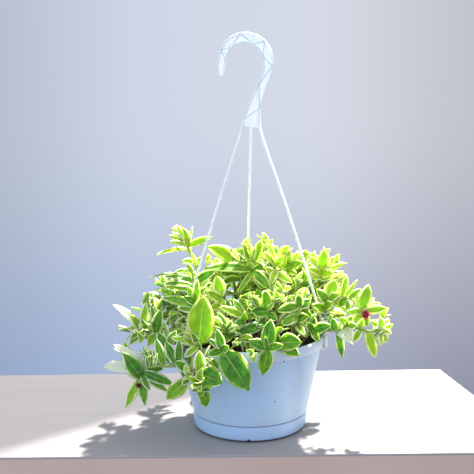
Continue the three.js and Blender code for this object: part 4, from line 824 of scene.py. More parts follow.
def leaves_in_solid(stem):
    corners = corners_of(stem["name"])
    rows = []
    for order in range(len(stem["tips"])):
        rows.append([named_leaf(stem, order, attempt) for attempt in range(NAMED_ATTEMPTS)])
    for key, slot in enumerate(rule_slots(stem)):
        rows.append([rule_leaf(stem, key, slot, attempt) for attempt in range(RULE_ATTEMPTS)])
    found = [next((leaf for leaf in row if corners.find(leaf["tip"])[2] < NEAR), None) for row in rows]
    return [leaf for leaf in found if leaf]


for stem in stems:
    stem["leaves"] = leaves_in_solid(stem)
print("leaves in the solids:", sum(len(stem["leaves"]) for stem in stems))

# %% [markdown]
# ## The leaf
# The real leaf is fleshy, a little over a millimetre thick, with a pointed oval outline, a slight fold
# along the midrib and a margin that waves. One flat card would look like paper from the side, so each leaf
# is a closed skin with an upper and an under face that meet in a soft edge. Two numbers are stored at each
# corner, how far along and how far across the leaf it lies, and the colour pattern is drawn from them.

# %% The outline and thickness of a leaf
WIDEST_BASE = 0.66  # the two powers put the widest place a little below the middle
WIDEST_TIP = 0.86
WIDEST_AT = WIDEST_BASE / (WIDEST_BASE + WIDEST_TIP)
STALK_HALF_WIDTH = 0.55
LARGE_LEAF = 11  # width from which a leaf is thicker
LARGE_THICK = 1.3
SMALL_THICK = 1.05
ROOT_SUNK = 0.6
WAVE_SHARE = 0.03  # height of the margin's waves as a share of the leaf's width
DROOP_SHARE = 0.03  # how far the tip droops as a share of the leaf's length
GROOVE_DEPTH = 0.22  # the midrib's groove
GROOVE_WIDTH = 0.6
GROOVED_HALF = 1.5  # half the width from which a leaf has a groove


def outline(u):
    """Half the leaf's width at u, from 0 at the root to 1 at the tip, as a share of its greatest."""
    peak = WIDEST_AT**WIDEST_BASE * (1 - WIDEST_AT) ** WIDEST_TIP
    return u**WIDEST_BASE * (1 - u) ** WIDEST_TIP / peak


def leaf_axes(leaf):
    """The leaf's length, its direction, the way its face looks and the way to its side."""
    chord = leaf["tip"] - leaf["root"]
    length = size_of(chord)
    along = chord / length
    flat = square(leaf["face"], along)
    side = np.cross(along, flat)
    turn = math.radians(leaf["turn"])
    face = flat * math.cos(turn) + side * math.sin(turn)
    return length, along, face, side * math.cos(turn) - flat * math.sin(turn)


def middle_of(leaf, axes, u):
    """A point on the arched middle line."""
    length, along, face, side = axes
    return leaf["root"] + along * (u * length) + face * (4 * leaf["arch"] * length * u * (1 - u))


def leaf_skin(leaf, stations, lanes, draw):
    """Corners, faces and the along and across numbers of one leaf."""
    axes = leaf_axes(leaf)
    length, along, face, side = axes
    thick = LARGE_THICK if leaf["width"] >= LARGE_LEAF else SMALL_THICK
    waves = 2.0 + 2.0 * draw()
    phases = (6.3 * draw(), 6.3 * draw())
    wave_size = WAVE_SHARE * leaf["width"] * (0.4 + draw())
    droop = DROOP_SHARE * length * (draw() - 0.3)
    corners = [leaf["root"] - along * ROOT_SUNK]
    marks = [(0.0, 0.5, 0.0)]
    for i in range(1, stations):
        u = i / stations
        twist = leaf["twist"] * (u - 0.3)
        across = around(side, face, twist)
        up = around(face, -side, twist)
        middle = middle_of(leaf, axes, u) - up * droop * math.sin(math.pi * u) * u
        half = max(leaf["width"] / 2 * outline(u), STALK_HALF_WIDTH * (1 - u))
        plump = thick / 2 * min(1.0, 6 * u + 0.4, 5 * (1 - u) + 0.15)
        for skin in (1, -1):
            for j in range(lanes):
                v = -1 + 2 * j / (lanes - 1)
                if skin == -1 and abs(v) == 1:
                    continue
                phase = phases[0] if v > 0 else phases[1]
                wave = wave_size * abs(v) ** 2.5 * math.sin(2 * math.pi * waves * u + phase)
                rise = leaf["fold"] * half * abs(v) ** 1.25 + wave * math.sin(math.pi * u)
                swell = plump * math.sqrt(max(0.0, 1 - v * v)) * skin
                if half > GROOVED_HALF:
                    swell -= GROOVE_DEPTH * math.exp(-((v * half / GROOVE_WIDTH) ** 2))
                corners.append(middle + across * (v * half) + up * (rise + swell))
                marks.append((u, (v + 1) / 2, 0.0 if skin == 1 else 1.0))
    corners.append(leaf["tip"])
    marks.append((1.0, 0.5, 0.0))
    return corners, leaf_faces(stations, lanes), marks


def leaf_faces(stations, lanes):
    """The faces that join the rings of a leaf to each other, to its root and to its tip."""
    ring = 2 * lanes - 2
    order = list(range(lanes)) + list(range(2 * lanes - 3, lanes - 1, -1))
    last = 1 + ring * (stations - 1)
    faces = []
    for k in range(ring):
        a = order[k]
        b = order[(k + 1) % ring]
        faces.append((0, 1 + b, 1 + a))
        for i in range(stations - 2):
            low = 1 + ring * i
            faces.append((low + a, low + b, low + ring + b, low + ring + a))
        faces.append((last - ring + a, last - ring + b, last))
    return faces


print("widest at", round(WIDEST_AT, 2), "half-way width", round(outline(0.5), 2))

# %% The stem
STEM_RADIUS = 1.45
STEM_END_RADIUS = 0.9
STEM_SIDES = 9
STEM_IN_SOIL = 86  # the stem goes on below the soil's surface
STEM_STEP = 3.5  # length between two rings
NODE_SWELL = 0.4
NODE_REACH = 0.9  # how many rings a swollen joint reaches


def stem_skin(path, radius, end_radius, joints=(), plumb=False):
    """A round stem along the path, swollen a little at its joints."""
    steps = max(5, round(curve_length(path) / STEM_STEP))
    rings = []
    if plumb:
        rings.append((vec(path[0][0], path[0][1], STEM_IN_SOIL), UP, radius, 0.0))
    for i in range(steps + 1):
        t = i / steps
        swell = sum(NODE_SWELL * math.exp(-(((t - joint) * steps / NODE_REACH) ** 2)) for joint in joints)
        thick = radius + (end_radius - radius) * t + min(swell, NODE_SWELL)
        rings.append((curve_point(path, t), curve_direction(path, t), thick, t))
    across = EAST
    corners = []
    marks = []
    for centre, along, thick, t in rings:
        across = square(across, along)
        corners += ring_of(centre, across, np.cross(along, across), thick, STEM_SIDES)
        marks += [(t, s / STEM_SIDES, 0.0) for s in range(STEM_SIDES)]
    return corners, closed_tube(STEM_SIDES, len(rings)), marks


print("a stem has", STEM_SIDES, "sides")

# %% [markdown]
# ## The leaf's colours
# This is the variegated kind: an irregular green heart along the midrib, a paler green band round it, and a
# cream to lime margin. No two leaves share a pattern. The margin's line is the across number, pushed to and
# fro by noise that is stretched along the leaf. Each leaf also carries its own tone, from blue-green leaves
# low in the plant, which is painted shade, to almost wholly lime young ones at the tips, where painted
# sunlight adds to the lime of young growth.

# %% Leaf material
DEEP_GREEN = colour("226203")
MID_GREEN = colour("64aa0c")
SHADE_GREEN = colour("4f9348")
LIME = colour("bbe01c")
PALE_LIME = colour("f6f97e")
CREAM = colour("fcfbd4")


def leaf_material():
    material, tree, surface = new_material("variegated_leaf")
    u, v, under = parts_of(tree, stored(tree, "leaf_place"))
    # young carries real young growth and painted sunlight; pale carries painted shade and the white of
    # leaves without green
    young, pale, margin_share = parts_of(tree, stored(tree, "leaf_tone"))
    at = place(tree)

    across = times(tree, math_node(tree, "ABSOLUTE", minus(tree, v, 0.5)), 2.0)
    lines = [times(tree, u, 3.0), times(tree, v, 9.0), times(tree, margin_share, 300.0)]
    streak_at = node(tree, "ShaderNodeCombineXYZ", X=lines[0], Y=lines[1], Z=lines[2]).outputs[0]
    streaks = noise(tree, streak_at, 1.0, 4.0, 0.6, 0.4)
    patches = noise(tree, at, 160.0, 3.0, 0.6, 0.3)
    grain = noise(tree, at, 1400.0, 2.0)

    pushed = plus(tree, across, times(tree, minus(tree, streaks, 0.5), 1.15))
    pushed = plus(tree, pushed, times(tree, step(tree, u, 0.72, 1.0), 0.22))
    edge = minus(tree, minus(tree, 1.02, margin_share), times(tree, young, 0.2))
    beyond = minus(tree, pushed, edge)

    heart = blend(tree, step(tree, patches, 0.3, 0.75), DEEP_GREEN, MID_GREEN)
    # Painted shade: shaded leaves get a blue-green heart. The young share, which also carries painted
    # sunlight, turns hearts lime.
    heart = blend(tree, pale, heart, SHADE_GREEN, 0.6)
    heart = blend(tree, young, heart, LIME, 0.7)
    inner = blend(tree, step(tree, beyond, -0.26, -0.03), heart, LIME, 0.5)
    rim = blend(tree, step(tree, plus(tree, pale, streaks), 0.35, 1.0), PALE_LIME, CREAM)
    pattern = blend(tree, step(tree, beyond, -0.04, 0.05), inner, rim)
    midrib = times(tree, fall(tree, across, 0.015, 0.07), minus(tree, 0.55, times(tree, u, 0.5)))
    pattern = blend(tree, midrib, pattern, PALE_LIME)
    whole = blend(tree, under, pattern, blend(tree, 0.35, pattern, colour("b4d884")))
    whole = blend(tree, grain, whole, colour("e4efb0"), 0.04)
    whole = blend(tree, step(tree, pale, 1.2, 2.0), whole, colour("e6ebd6"), 0.85)

    veins = bump(tree, noise(tree, streak_at, 2.2, 3.0, 0.5, 0.6), 0.25, 0.0006)
    relief = bump(tree, grain, 0.18, 0.00012, veins)
    rough = node(tree, "ShaderNodeMapRange", Value=patches, To_Min=0.38, To_Max=0.55).outputs[0]
    dress(tree, surface, whole, relief, rough, (0.55, (1.0, 1.2, 0.2), 0.003))
    surface.inputs["Specular IOR Level"].default_value = 0.22
    return material


LEAF_STUFF = leaf_material()
print("nodes in the leaf's tree:", len(LEAF_STUFF.node_tree.nodes))


# %% Stem material
def stem_material():
    material, tree, surface = new_material("fleshy_stem")
    age = parts_of(tree, stored(tree, "leaf_place"))[0]
    at = place(tree)
    blotch = noise(tree, at, 220.0, 4.0)
    wander = times(tree, minus(tree, blotch, 0.5), 0.5)
    old = blend(tree, blotch, colour("7a6a4e"), colour("8f9a5c"))
    tint = blend(tree, step(tree, plus(tree, age, wander), 0.2, 0.75), old, colour("9cbd4a"))
    relief = bump(tree, noise(tree, at, 900.0, 4.0), 0.3, 0.0003)
    dress(tree, surface, tint, relief, 0.5, (0.15, (1.0, 0.2, 0.1), 0.001))
    return material


STEM_STUFF = stem_material()
print("nodes in the stem's tree:", len(STEM_STUFF.node_tree.nodes))

# %% [markdown]
# ## Filling out each stem
# Between its large leaves a living stem carries many small ones, in opposite pairs, and it ends in a tight
# crown of young leaves. They are placed by rule. A small leaf is kept only if it stays out of the pot and
# does not cut through the large leaves, so every new leaf is measured against all the leaves that are
# already there.

# %% The pot's wall and the space that leaves may use
POT_TOP = 100.0
COLLAR_LOW = 89.0
COLLAR_RADIUS = 78.3
WALL_TOP_RADIUS = 74.4
WALL_LOW_RADIUS = 60.1
WALL_LOW = 16.9
SOIL_TOP = 93.0
KEEP = 0.8  # room between a leaf and the pot
OFF_TABLE = 3  # the lowest a leaf may hang


def wall_radius(z):
    return WALL_LOW_RADIUS + (z - WALL_LOW) * (WALL_TOP_RADIUS - WALL_LOW_RADIUS) / (COLLAR_LOW - WALL_LOW)


def clear_of_pot(point):
    x, y, z = point
    r = math.hypot(x, y)
    if z > POT_TOP + KEEP:
        return True
    if r > COLLAR_RADIUS + KEEP or (z < COLLAR_LOW - KEEP and r > wall_radius(z) + KEEP):
        return z > OFF_TABLE
    return r < WALL_TOP_RADIUS - 3 and z > SOIL_TOP + KEEP


def inside_solids_box(point, slack=2.0):
    low, high = solid_box
    return all(low[k] / MM - slack < point[k] < high[k] / MM + slack for k in range(3))


print("the wall is", round(wall_radius(50), 1), "mm from the axis at half its height")

# %% What the camera sees
# Places that stay open, as low x, low z, high x and high z in the plane of the pot's axis: the window under
# the arching stem, and the air round the bare stem at top left and between the tops.
OPEN_PLACES = [
    (-30, 129, -16, 157), (-89, 163, -69, 183), (-72, 166, -46, 181), (-29, 195, -5, 212),
    (33, 186, 66, 215),
]
VIEW_CELL = 2.0
VIEW_ROOM = 4.0  # a small leaf this little behind a large one still counts as before it
in_view = {}  # the depth of the foremost large leaf or strand in each cell of the view


def seen_place(point):
    """Where the line from the camera through the point meets the plane of the pot's axis."""
    from_camera = np.array(CAMERA_AT) / MM
    reach = -from_camera[1] / (point[1] - from_camera[1])
    seen = from_camera + (point - from_camera) * reach
    return float(seen[0]), float(seen[2])


def near_seen(point, x, z, room):
    seen_x, seen_z = seen_place(point)
    return math.hypot(seen_x - x, seen_z - z) < room


def in_open_place(point):
    x, z = seen_place(point)
    return any(low_x < x < high_x and low_z < z < high_z for low_x, low_z, high_x, high_z in OPEN_PLACES)


def view_cell(point):
    x, z = seen_place(point)
    return round(x / VIEW_CELL), round(z / VIEW_CELL)


def keep_in_view(points):
    """Small leaves may stand behind these points but not before them."""
    for point in points:
        cell = view_cell(point)
        in_view[cell] = min(in_view.get(cell, FAR), float(point[1]))


def hides_a_leaf(points):
    """True if more than one of the points stands in front of a large leaf."""
    return sum(float(point[1]) < in_view.get(view_cell(point), -FAR) + VIEW_ROOM for point in points) > 1


def across_leaf(leaf):
    """Points all over a leaf."""
    axes = leaf_axes(leaf)
    for i in range(1, 24):
        u = i / 24
        half = leaf["width"] / 2 * outline(u)
        for j in range(-5, 6):
            yield middle_of(leaf, axes, u) + axes[3] * (half * j / 5)


def along_leaf(leaf, spots=(0.3, 0.55, 0.8, 1.0)):
    """Points down the middle of a leaf and at its sides."""
    axes = leaf_axes(leaf)
    points = []
    for u in spots:
        middle = middle_of(leaf, axes, u)
        half = leaf["width"] / 2 * outline(min(u, 0.99)) * 0.8
        points += [middle, middle + axes[3] * half, middle - axes[3] * half]
    return points


print("a leaf tip at 50, -100, 100 is seen at", [round(v, 1) for v in seen_place(vec(50, -100, 100))])

# %% The strands' lines
# The strands of the hanger stay in view as well.
CLAW_GAP = 0.3
CLAW_DEPTH = 2.6
SEEN_FROM = 0.3  # the share of a strand above which no leaf comes near
STRANDS = [  # degrees round the rim, points near the hook, and how far the strand bows outwards
    (-14, [vec(9.6, 0, 334), vec(9.2, 0, 318), vec(12.5, -2, 300)], 1.8),
    (93, [vec(0.6, 0, 322), vec(0.8, 1, 311), vec(0.4, 6, 296)], 2.5),
    (205.5, [vec(-6.4, 0, 318), vec(-8.6, -0.6, 310), vec(-13, -3.6, 295)], 1.0),
]


def strand_path(degrees, start, bow):
    outward = around(EAST, NORTH, degrees)
    foot = outward * (COLLAR_RADIUS + CLAW_GAP + CLAW_DEPTH / 2) + UP * (POT_TOP + 1)
    top = start[-1]
    lower = [top * (1 - f) + foot * f + outward * (4 * bow * f * (1 - f)) for f in (0.34, 0.67)]
    return start + lower + [foot]


for strand in (STRANDS[0], STRANDS[2]):
    path = strand_path(*strand)
    line = [curve_point(path, SEEN_FROM + (1 - SEEN_FROM) * i / 300) for i in range(301)]
    keep_in_view(point + EAST * aside for point in line for aside in (-1, 0, 1))
print("lengths of the strands in mm:", [round(curve_length(strand_path(*strand))) for strand in STRANDS])

# %% Room among the leaves
CELL = 4.0
SAMPLED = tuple(k / 10 for k in range(1, 11))
NEIGHBOURS = [(i, j, k) for i in (-1, 0, 1) for j in (-1, 0, 1) for k in (-1, 0, 1)]
taken = {}


def cell_of(point):
    return tuple(int(math.floor(v / CELL)) for v in point)


def take(leaf, owner):
    for point in along_leaf(leaf, SAMPLED):
        taken.setdefault(cell_of(point), []).append((point, owner))


def is_free(points, owner, room):
    """True if no leaf of another root is closer than room."""
    for point in points:
        x, y, z = cell_of(point)
        for i, j, k in NEIGHBOURS:
            for other, who in taken.get((x + i, y + j, z + k), ()):
                if who != owner and size_of(other - point) < room:
                    return False
    return True


for stem in stems:
    for number, leaf in enumerate(stem["leaves"]):
        take(leaf, (stem["name"], number))
        if stem["tips"]:
            keep_in_view(across_leaf(leaf))
print("places taken by large leaves:", sum(len(v) for v in taken.values()))

# %% Small leaves by rule
LEAF_ROOM = 1.7  # the least room round a small leaf
CROWN_ROOM = 0.9
SIZES = (12, 20)  # lengths of small leaves
LAST_JOINT = 0.98
STEM_GROWTH = (0.22, 12.0, 5)  # where the leaves start, the spacing of the pairs and the leaves of the crown
BRANCH_GROWTH = (0.35, 9.0, 4)


def small_leaf(path, at, angle, opened, length, draw):
    """A small leaf beside the path. Its width and the way it curls are drawn."""
    root, along, out = beside(path, at, angle)
    heading = unit(around(along, out, opened) + UP * 0.1)
    return dict(
        at=at,
        root=root,
        tip=root + heading * length,
        width=length * (0.48 + 0.18 * draw()),
        face=along * 0.6 + UP * 0.8,
        turn=60 * (draw() - 0.5),
        arch=0.02 + 0.1 * draw(),
        fold=0.15 + 0.35 * draw(),
        twist=40 * (draw() - 0.5),
    )


def fits(leaf, owner, room):
    points = along_leaf(leaf)
    if not all(clear_of_pot(p) and inside_solids_box(p) and not in_open_place(p) for p in points):
        return False
    return not hides_a_leaf(points) and is_free(points[3:], owner, room)


def grow_small_leaves(owner, path, growth, draw):
    """Opposite pairs of small leaves along the path, then a crown of young ones at its end."""
    first, spacing, crown = growth
    grown = []
    joints = max(1, int(curve_length(path) * (1 - first) / spacing))
    turn = 360 * draw()
    for joint in range(joints):
        at = first + (LAST_JOINT - first) * (joint + 0.5) / joints
        turn += 75 + 30 * draw()
        for half in (0, 180):
            size = SIZES[0] + (SIZES[1] - SIZES[0]) * draw()
            leaf = small_leaf(path, at, turn + half + 20 * draw(), 45 + 30 * draw(), size, draw)
            if fits(leaf, owner, LEAF_ROOM):
                grown.append(leaf)
                take(leaf, owner)
    for petal in range(crown):
        size = SIZES[0] * (0.7 + 0.7 * draw())
        leaf = small_leaf(path, 1.0 - 0.006 * petal, turn + CROWN_TURN * petal, 14 + 9 * petal, size, draw)
        if fits(leaf, owner, CROWN_ROOM):
            grown.append(leaf)
    return grown


def branch_path(stem, draw):
    """A short branch from the stem, or None if it would stand in the pot's wall."""
    root, along, out = beside(stem["path"], 0.12 + 0.7 * draw(), 360 * draw())
    reach = 12 + 16 * draw()
    heading = unit(along * 0.5 + out + vec(0, -0.1, 0.45))
    path = [root, root + heading * reach * 0.5, root + unit(heading + UP * 0.35 + out * 0.2) * reach]
    points = [curve_point(path, i / 8) for i in range(1, 9)]
    if all(clear_of_pot(p) and inside_solids_box(p, 0) and not in_open_place(p) for p in points):
        return path
    return None


BRANCH_TRIES = 12
BRANCH_LEAVES = 3  # a branch with fewer leaves isn't kept
for stem in stems:
    draw = make_draw(stem["seed"] * 419 + 17)
    stem["small"] = grow_small_leaves((stem["name"], "small"), stem["path"], STEM_GROWTH, draw)
    stem["branches"] = []
    for number in range(BRANCH_TRIES):
        path = branch_path(stem, draw)
        if path is None:
            continue
        small = grow_small_leaves((stem["name"], "branch", number), path, BRANCH_GROWTH, draw)
        if len(small) >= BRANCH_LEAVES:
            stem["branches"].append((path, small))
print("small leaves:", sum(len(s["small"]) for s in stems))
print("branches:", sum(len(s["branches"]) for s in stems))

# %% Young tips
# Tight tufts of young leaves that show at the front and at the tops: where each ends, in millimetres, how
# many leaves it has and how long they are. Each grows from the nearest stem.
YOUNG_TIPS = [
    ((-48, -104, 76), 8, 15), ((-59, -96, 83), 6, 10), ((-102, -72, 93), 8, 13), ((90, -30, 110), 9, 12),
    ((135, -28, 106), 8, 13), ((-5, 4, 188), 9, 9), ((33, 10, 177), 7, 13), ((-57, -74, 111), 5, 14),
    ((-18, -60, 117), 5, 12), ((-11, -60, 106), 6, 15), ((-71, -40, 113), 7, 18), ((-94, -30, 120), 7, 20),
    ((-71, -30, 128), 7, 20), ((-28, -60, 119), 5, 14), ((-110, -45, 113), 7, 14), ((-72, 0, 202), 7, 10),
    ((-83, -50, 106), 7, 16), ((53, -40, 111), 6, 14), ((-84, -62, 94), 7, 15),
]
TUFT_YOUNG = 0.55


def nearest_stem(end):
    """The stem that passes closest to the point, and where along it that is."""
    gaps = []
    for stem in stems:
        for i in range(4, 11):
            gaps.append((size_of(curve_point(stem["path"], i / 10) - end), stem["name"], i / 10))
    gap, name, at = min(gaps)
    return next(stem for stem in stems if stem["name"] == name), at


def young_tip(number, end, count, size):
    draw = make_draw(number * 733 + 29)
    stem, at = nearest_stem(end)
    root = curve_point(stem["path"], at)
    path = [root, (root + end) / 2 + curve_direction(stem["path"], at) * 2, end]
    turn = 360 * draw()
    tuft = []
    for k in range(count):
        length = size * (0.75 + 0.5 * draw())
        leaf = small_leaf(path, 1.0 - 0.02 * k, turn + CROWN_TURN * k, 12 + 62 * k / count, length, draw)
        if all(clear_of_pot(p) for p in along_leaf(leaf)):
            tuft.append({**leaf, "young": TUFT_YOUNG})
    stem["branches"].append((path, tuft))
    return len(tuft)


tufts = [young_tip(number, vec(*end), count, size) for number, (end, count, size) in enumerate(YOUNG_TIPS)]
print("leaves in young tips:", sum(tufts))

# %% [markdown]
# ## Each leaf's tone
# Sunlight is painted into the leaves' tone: the stems that the sun reaches more are painted almost wholly
# lime, and some places are painted in shade. A few leaves have lost nearly all their green. These places are
# listed as the camera sees them, and a draw varies the tone from leaf to leaf.

# %% Tones
# Painted sunlight: how much more lime each stem's leaves are painted, and painted shade where it is below
# nought.
SUNNY = {
    "top_left": 0.55, "top_middle": 0.5, "top_right": 0.65, "right_round": 0.35, "far_right": 0.7,
    "right_bloom": 0.5, "gap_left": 0.8, "big_leaf": 0.6, "top_back": 0.5, "rim_leaf": -0.2,
    "left_rosette": 0.15, "left_cluster": 0.2, "left_middle": 0.15, "left_curl": 0.15,
}
WHITE_TIPS = {  # x and z of the tips of white leaves, by stem
    "left_rosette": [(-141.8, 127.7)],
    "trail_left": [(-141.9, 83.1), (-152.5, 62.2)],
    "right_front": [(109.2, 85.2)],
}
WHITE_ROOM = 6.0
WHITE = 2.0  # how pale a leaf without green is
# Patches of painted sunlight, and of painted shade where the last number is below nought: x, z, radius and
# how much more lime the leaves there are painted.
SUN_AND_SHADE_PATCHES = [
    (-58, 66, 7, 0.5), (-42, 55, 6, 0.3), (-108, 116, 7, 0.6), (-119, 109, 7, 0.4), (-31, 183, 12, 0.5),
    (-83, 184, 12, 0.3), (-125, 26, 7, 0.4), (-34, 149, 10, 0.3), (77, 170, 16, 0.2), (16, 135, 7, 0.45),
    (12, 155, 10, 0.2), (130, 100, 17, 0.3), (39, 109, 7, 0.35), (8, 187, 8, 0.3), (132, 125, 12, 0.2),
    (-6, 91, 12, -0.3), (57, 111, 10, -0.4), (-40, 139, 6, -0.3), (-75, 157, 9, -0.3),
    (-80, 130, 10, -0.3), (-42, 157, 7, -0.3), (14, 115, 9, -0.2), (82, 103, 8, -0.3),
]
SMALL_YOUNG = 0.24
MARGIN = 1.05  # width of the cream margin


def tone_of(leaf, small, draw, stem_name):
    """How young, how pale and how wide in the margin. Higher leaves get painted sunlight, so they are more
    lime, and low leaves and those at the left get painted shade, so they are bluer green.
    """
    middle = (leaf["root"] + leaf["tip"]) / 2
    height = limit((middle[2] - 70) / 120)
    young = (SMALL_YOUNG if small else 0.0) + leaf.get("young", 0.0) + SUNNY.get(stem_name, 0.0)
    # painted sunlight: higher leaves are more lime
    young += 0.2 * height + 0.5 * (draw() + draw() - 1)
    young += sum(painted_sun for x, z, room, painted_sun in SUN_AND_SHADE_PATCHES if near_seen(middle, x, z, room))
    # painted shade: low leaves, and more so those at the left, lean towards the shade green
    pale = limit(0.75 * (1 - height) * draw() + (0.25 if middle[0] < -60 else 0.0))
    if any(near_seen(leaf["tip"], x, z, WHITE_ROOM) for x, z in WHITE_TIPS.get(stem_name, ())):
        pale = WHITE
    margin = MARGIN / (leaf["width"] / 2) * (0.55 + 0.9 * draw())
    return limit(young), pale, min(0.5, margin)


first_tone = tone_of(stems[0]["leaves"][0], False, make_draw(1), "top_left")
print("tone of the first leaf:", [round(v, 2) for v in first_tone])

# %% Building one stem as one piece
LARGE_WIDTH = 7  # leaves that are this wide get the finer grid
LARGE_GRID = (15, 9)  # stations along the leaf and lanes across it
MIDDLE_GRID = (9, 7)
SMALL_GRID = (9, 5)
BRANCH_RADIUS = 0.85
BRANCH_END_RADIUS = 0.6
BRANCH_YOUNG = 0.6


def build_stem(stem):
    draw = make_draw(stem["seed"] * 97 + 5)
    stem_name = stem["name"].removeprefix("shoot_")
    joints = sorted({round(leaf["at"], 2) for leaf in stem["leaves"]})
    parts = [(stem_skin(stem["path"], STEM_RADIUS, STEM_END_RADIUS, joints, True), (0, 0, draw()), 1)]

    def add_leaf(leaf, grid, small):
        parts.append((leaf_skin(leaf, *grid, draw), tone_of(leaf, small, draw, stem_name), 0))

    for leaf in stem["leaves"]:
        large = leaf["width"] >= LARGE_WIDTH
        add_leaf(leaf, LARGE_GRID if large else MIDDLE_GRID, not large)
    for leaf in stem["small"]:
        add_leaf(leaf, SMALL_GRID, True)
    for path, small in stem["branches"]:
        parts.append((stem_skin(path, BRANCH_RADIUS, BRANCH_END_RADIUS), (BRANCH_YOUNG, 0, draw()), 1))
        for leaf in small:
            add_leaf(leaf, SMALL_GRID, True)
    piece = add_marked_piece("leafy_" + stem_name, parts, [LEAF_STUFF, STEM_STUFF])
    finish_piece(piece, stem["name"])
    return piece


pieces = [build_stem(stem) for stem in stems]
print("leafy stems:", len(pieces), "faces:", sum(len(p.data.polygons) for p in pieces))

# %% [markdown]
# ## The blooms
# One flower is half open at the end of the stem on the right, bright magenta, and one is still closed, dark
# red, on the trailing stem at lower left. A bloom of this plant is a tuft of narrow petals in a green
# fleshy cup. The petals are made with the same skin as a leaf, only narrower.


# %% Petal material
def petal_material(name, base, tip):
    material, tree, surface = new_material(name)
    marks = stored(tree, "leaf_place")
    lines = noise(tree, stretched(tree, marks, 2, 14, 1), 1.0, 3.0)
    tint = blend(tree, step(tree, parts_of(tree, marks)[0], 0.1, 0.9), base, tip)
    tint = blend(tree, lines, tint, base, 0.35)
    dress(tree, surface, tint, bump(tree, lines, 0.3, 0.0002), 0.4, (0.25, (1.0, 0.2, 0.4), 0.001))
    return material


MAGENTA = petal_material("magenta_petal", colour("8a0a46"), colour("bd1263"))
DARK_RED = petal_material("dark_red_petal", colour("3f0a12"), colour("741226"))
print("petal colours:", MAGENTA.name, DARK_RED.name)

# %% Building a bloom
CUP_SIDES = 16
CUP_MARK = (0.8, 0.5, 0.0)  # gives the cup the green of a young stem
PETAL_WIDTH = 1.35
PETAL_GRID = (7, 5)
BLOOMS = [
    {
        "name": "open_bloom",
        "solid": "bloom_right",
        "centre": (117.1, -16, 121.7),
        "facing": (0.1, -1, 0.15),
        "length": 5.8,
        "spread": 52,  # degrees that the outer petals lean out
        # for each ring of petals: how many, their length, their lean and their height on the cup
        "rings": [(13, 1.0, 1.0, 1.2), (10, 0.9, 0.6, 1.8), (6, 0.7, 0.25, 2.4)],
        "cup": [(0.8, 0), (1.8, 1.0), (2.0, 2.2), (1.5, 3.2), (0.5, 3.9)],  # radius and height
        "stuff": MAGENTA,
    },
    {
        "name": "shut_bloom",
        "solid": "bloom_left",
        "centre": (-107.1, -75.5, 69.8),
        "facing": (-0.15, -0.8, -0.35),
        "length": 6.2,
        "spread": 16,
        "rings": [(10, 1.0, 1.0, 1.4), (7, 0.95, 0.5, 2.0)],
        "cup": [(0.8, 0), (1.9, 1.2), (2.3, 2.6), (2.1, 3.8), (0.7, 4.8)],
        "stuff": DARK_RED,
    },
]


def build_bloom(bloom):
    draw = make_draw(len(bloom["name"]) * 31 + 7)
    along = unit(vec(*bloom["facing"]))
    across = square(UP, along)
    other = np.cross(along, across)
    centre = vec(*bloom["centre"])
    cup = []
    for radius, height in bloom["cup"]:
        cup += ring_of(centre + along * height, across, other, radius, CUP_SIDES)
    parts = [((cup, closed_tube(CUP_SIDES, len(bloom["cup"])), [CUP_MARK] * len(cup)), (0, 0, 0), 1)]
    for count, share, opened, low in bloom["rings"]:
        for i in range(count):
            out = around(across, other, 360 * (i + 0.4 * draw()) / count)
            heading = around(along, out, opened * bloom["spread"] * (0.8 + 0.4 * draw()))
            root = centre + out * 1.1 + along * low
            petal = dict(
                root=root,
                tip=root + heading * bloom["length"] * share * (0.85 + 0.2 * draw()),
                width=PETAL_WIDTH,
                face=along - out * 0.4,
                turn=20 * (draw() - 0.5),
                arch=0.06,
                fold=0.1,
                twist=20 * (draw() - 0.5),
            )
            parts.append((leaf_skin(petal, *PETAL_GRID, draw), (0, 0, 0), 0))
    piece = add_marked_piece(bloom["name"], parts, [bloom["stuff"], STEM_STUFF])
    finish_piece(piece, bloom["solid"])
    return piece


blooms = [build_bloom(bloom) for bloom in BLOOMS]
print("faces of the blooms:", [len(bloom.data.polygons) for bloom in blooms])

# %% [markdown]
# ## Potting mix
# What shows between the stems is dark, crumbly mix with pale fibres in it. Its skin is a disc of rings that
# is lifted by noise, closed below so that it fills the pot as the solid does.

# %% Soil
SOIL_TURNS = 96
SOIL_RINGS = 34
SOIL_RADIUS = 71.5
SOIL_LEVEL = 92.6
CLODS_PER_MM = 0.09
CLOD_HEIGHT = 0.8
CRUMBS_PER_CLOD = 2.3
CRUMB_HEIGHT = 1.1
SOIL_SIDE = [(71.2, 88.0), (57.3, 21.5), (53.2, 17.6), (52.1, 8.3)]  # radius and z, from the top down


def soil_height(x, y):
    at = Vector((x, y, 0)) * CLODS_PER_MM
    crumbs = hills.fractal(at * CRUMBS_PER_CLOD, 1.0, 2.0, 5) * CRUMB_HEIGHT
    return SOIL_LEVEL + crumbs + hills.noise(at) * CLOD_HEIGHT


def soil_material():
    material, tree, surface = new_material("potting_mix")
    at = place(tree)
    crumbs = noise(tree, at, 260.0, 6.0, 0.7)
    fibres = noise(tree, stretched(tree, at, 1, 4, 1), 420.0, 3.0)
    tint = blend(tree, step(tree, crumbs, 0.35, 0.7), colour("1c130c"), colour("4a3526"))
    tint = blend(tree, step(tree, fibres, 0.66, 0.74), tint, colour("8a6a48"))
    dress(tree, surface, tint, bump(tree, crumbs, 0.8, 0.0015), 0.95)
    return material


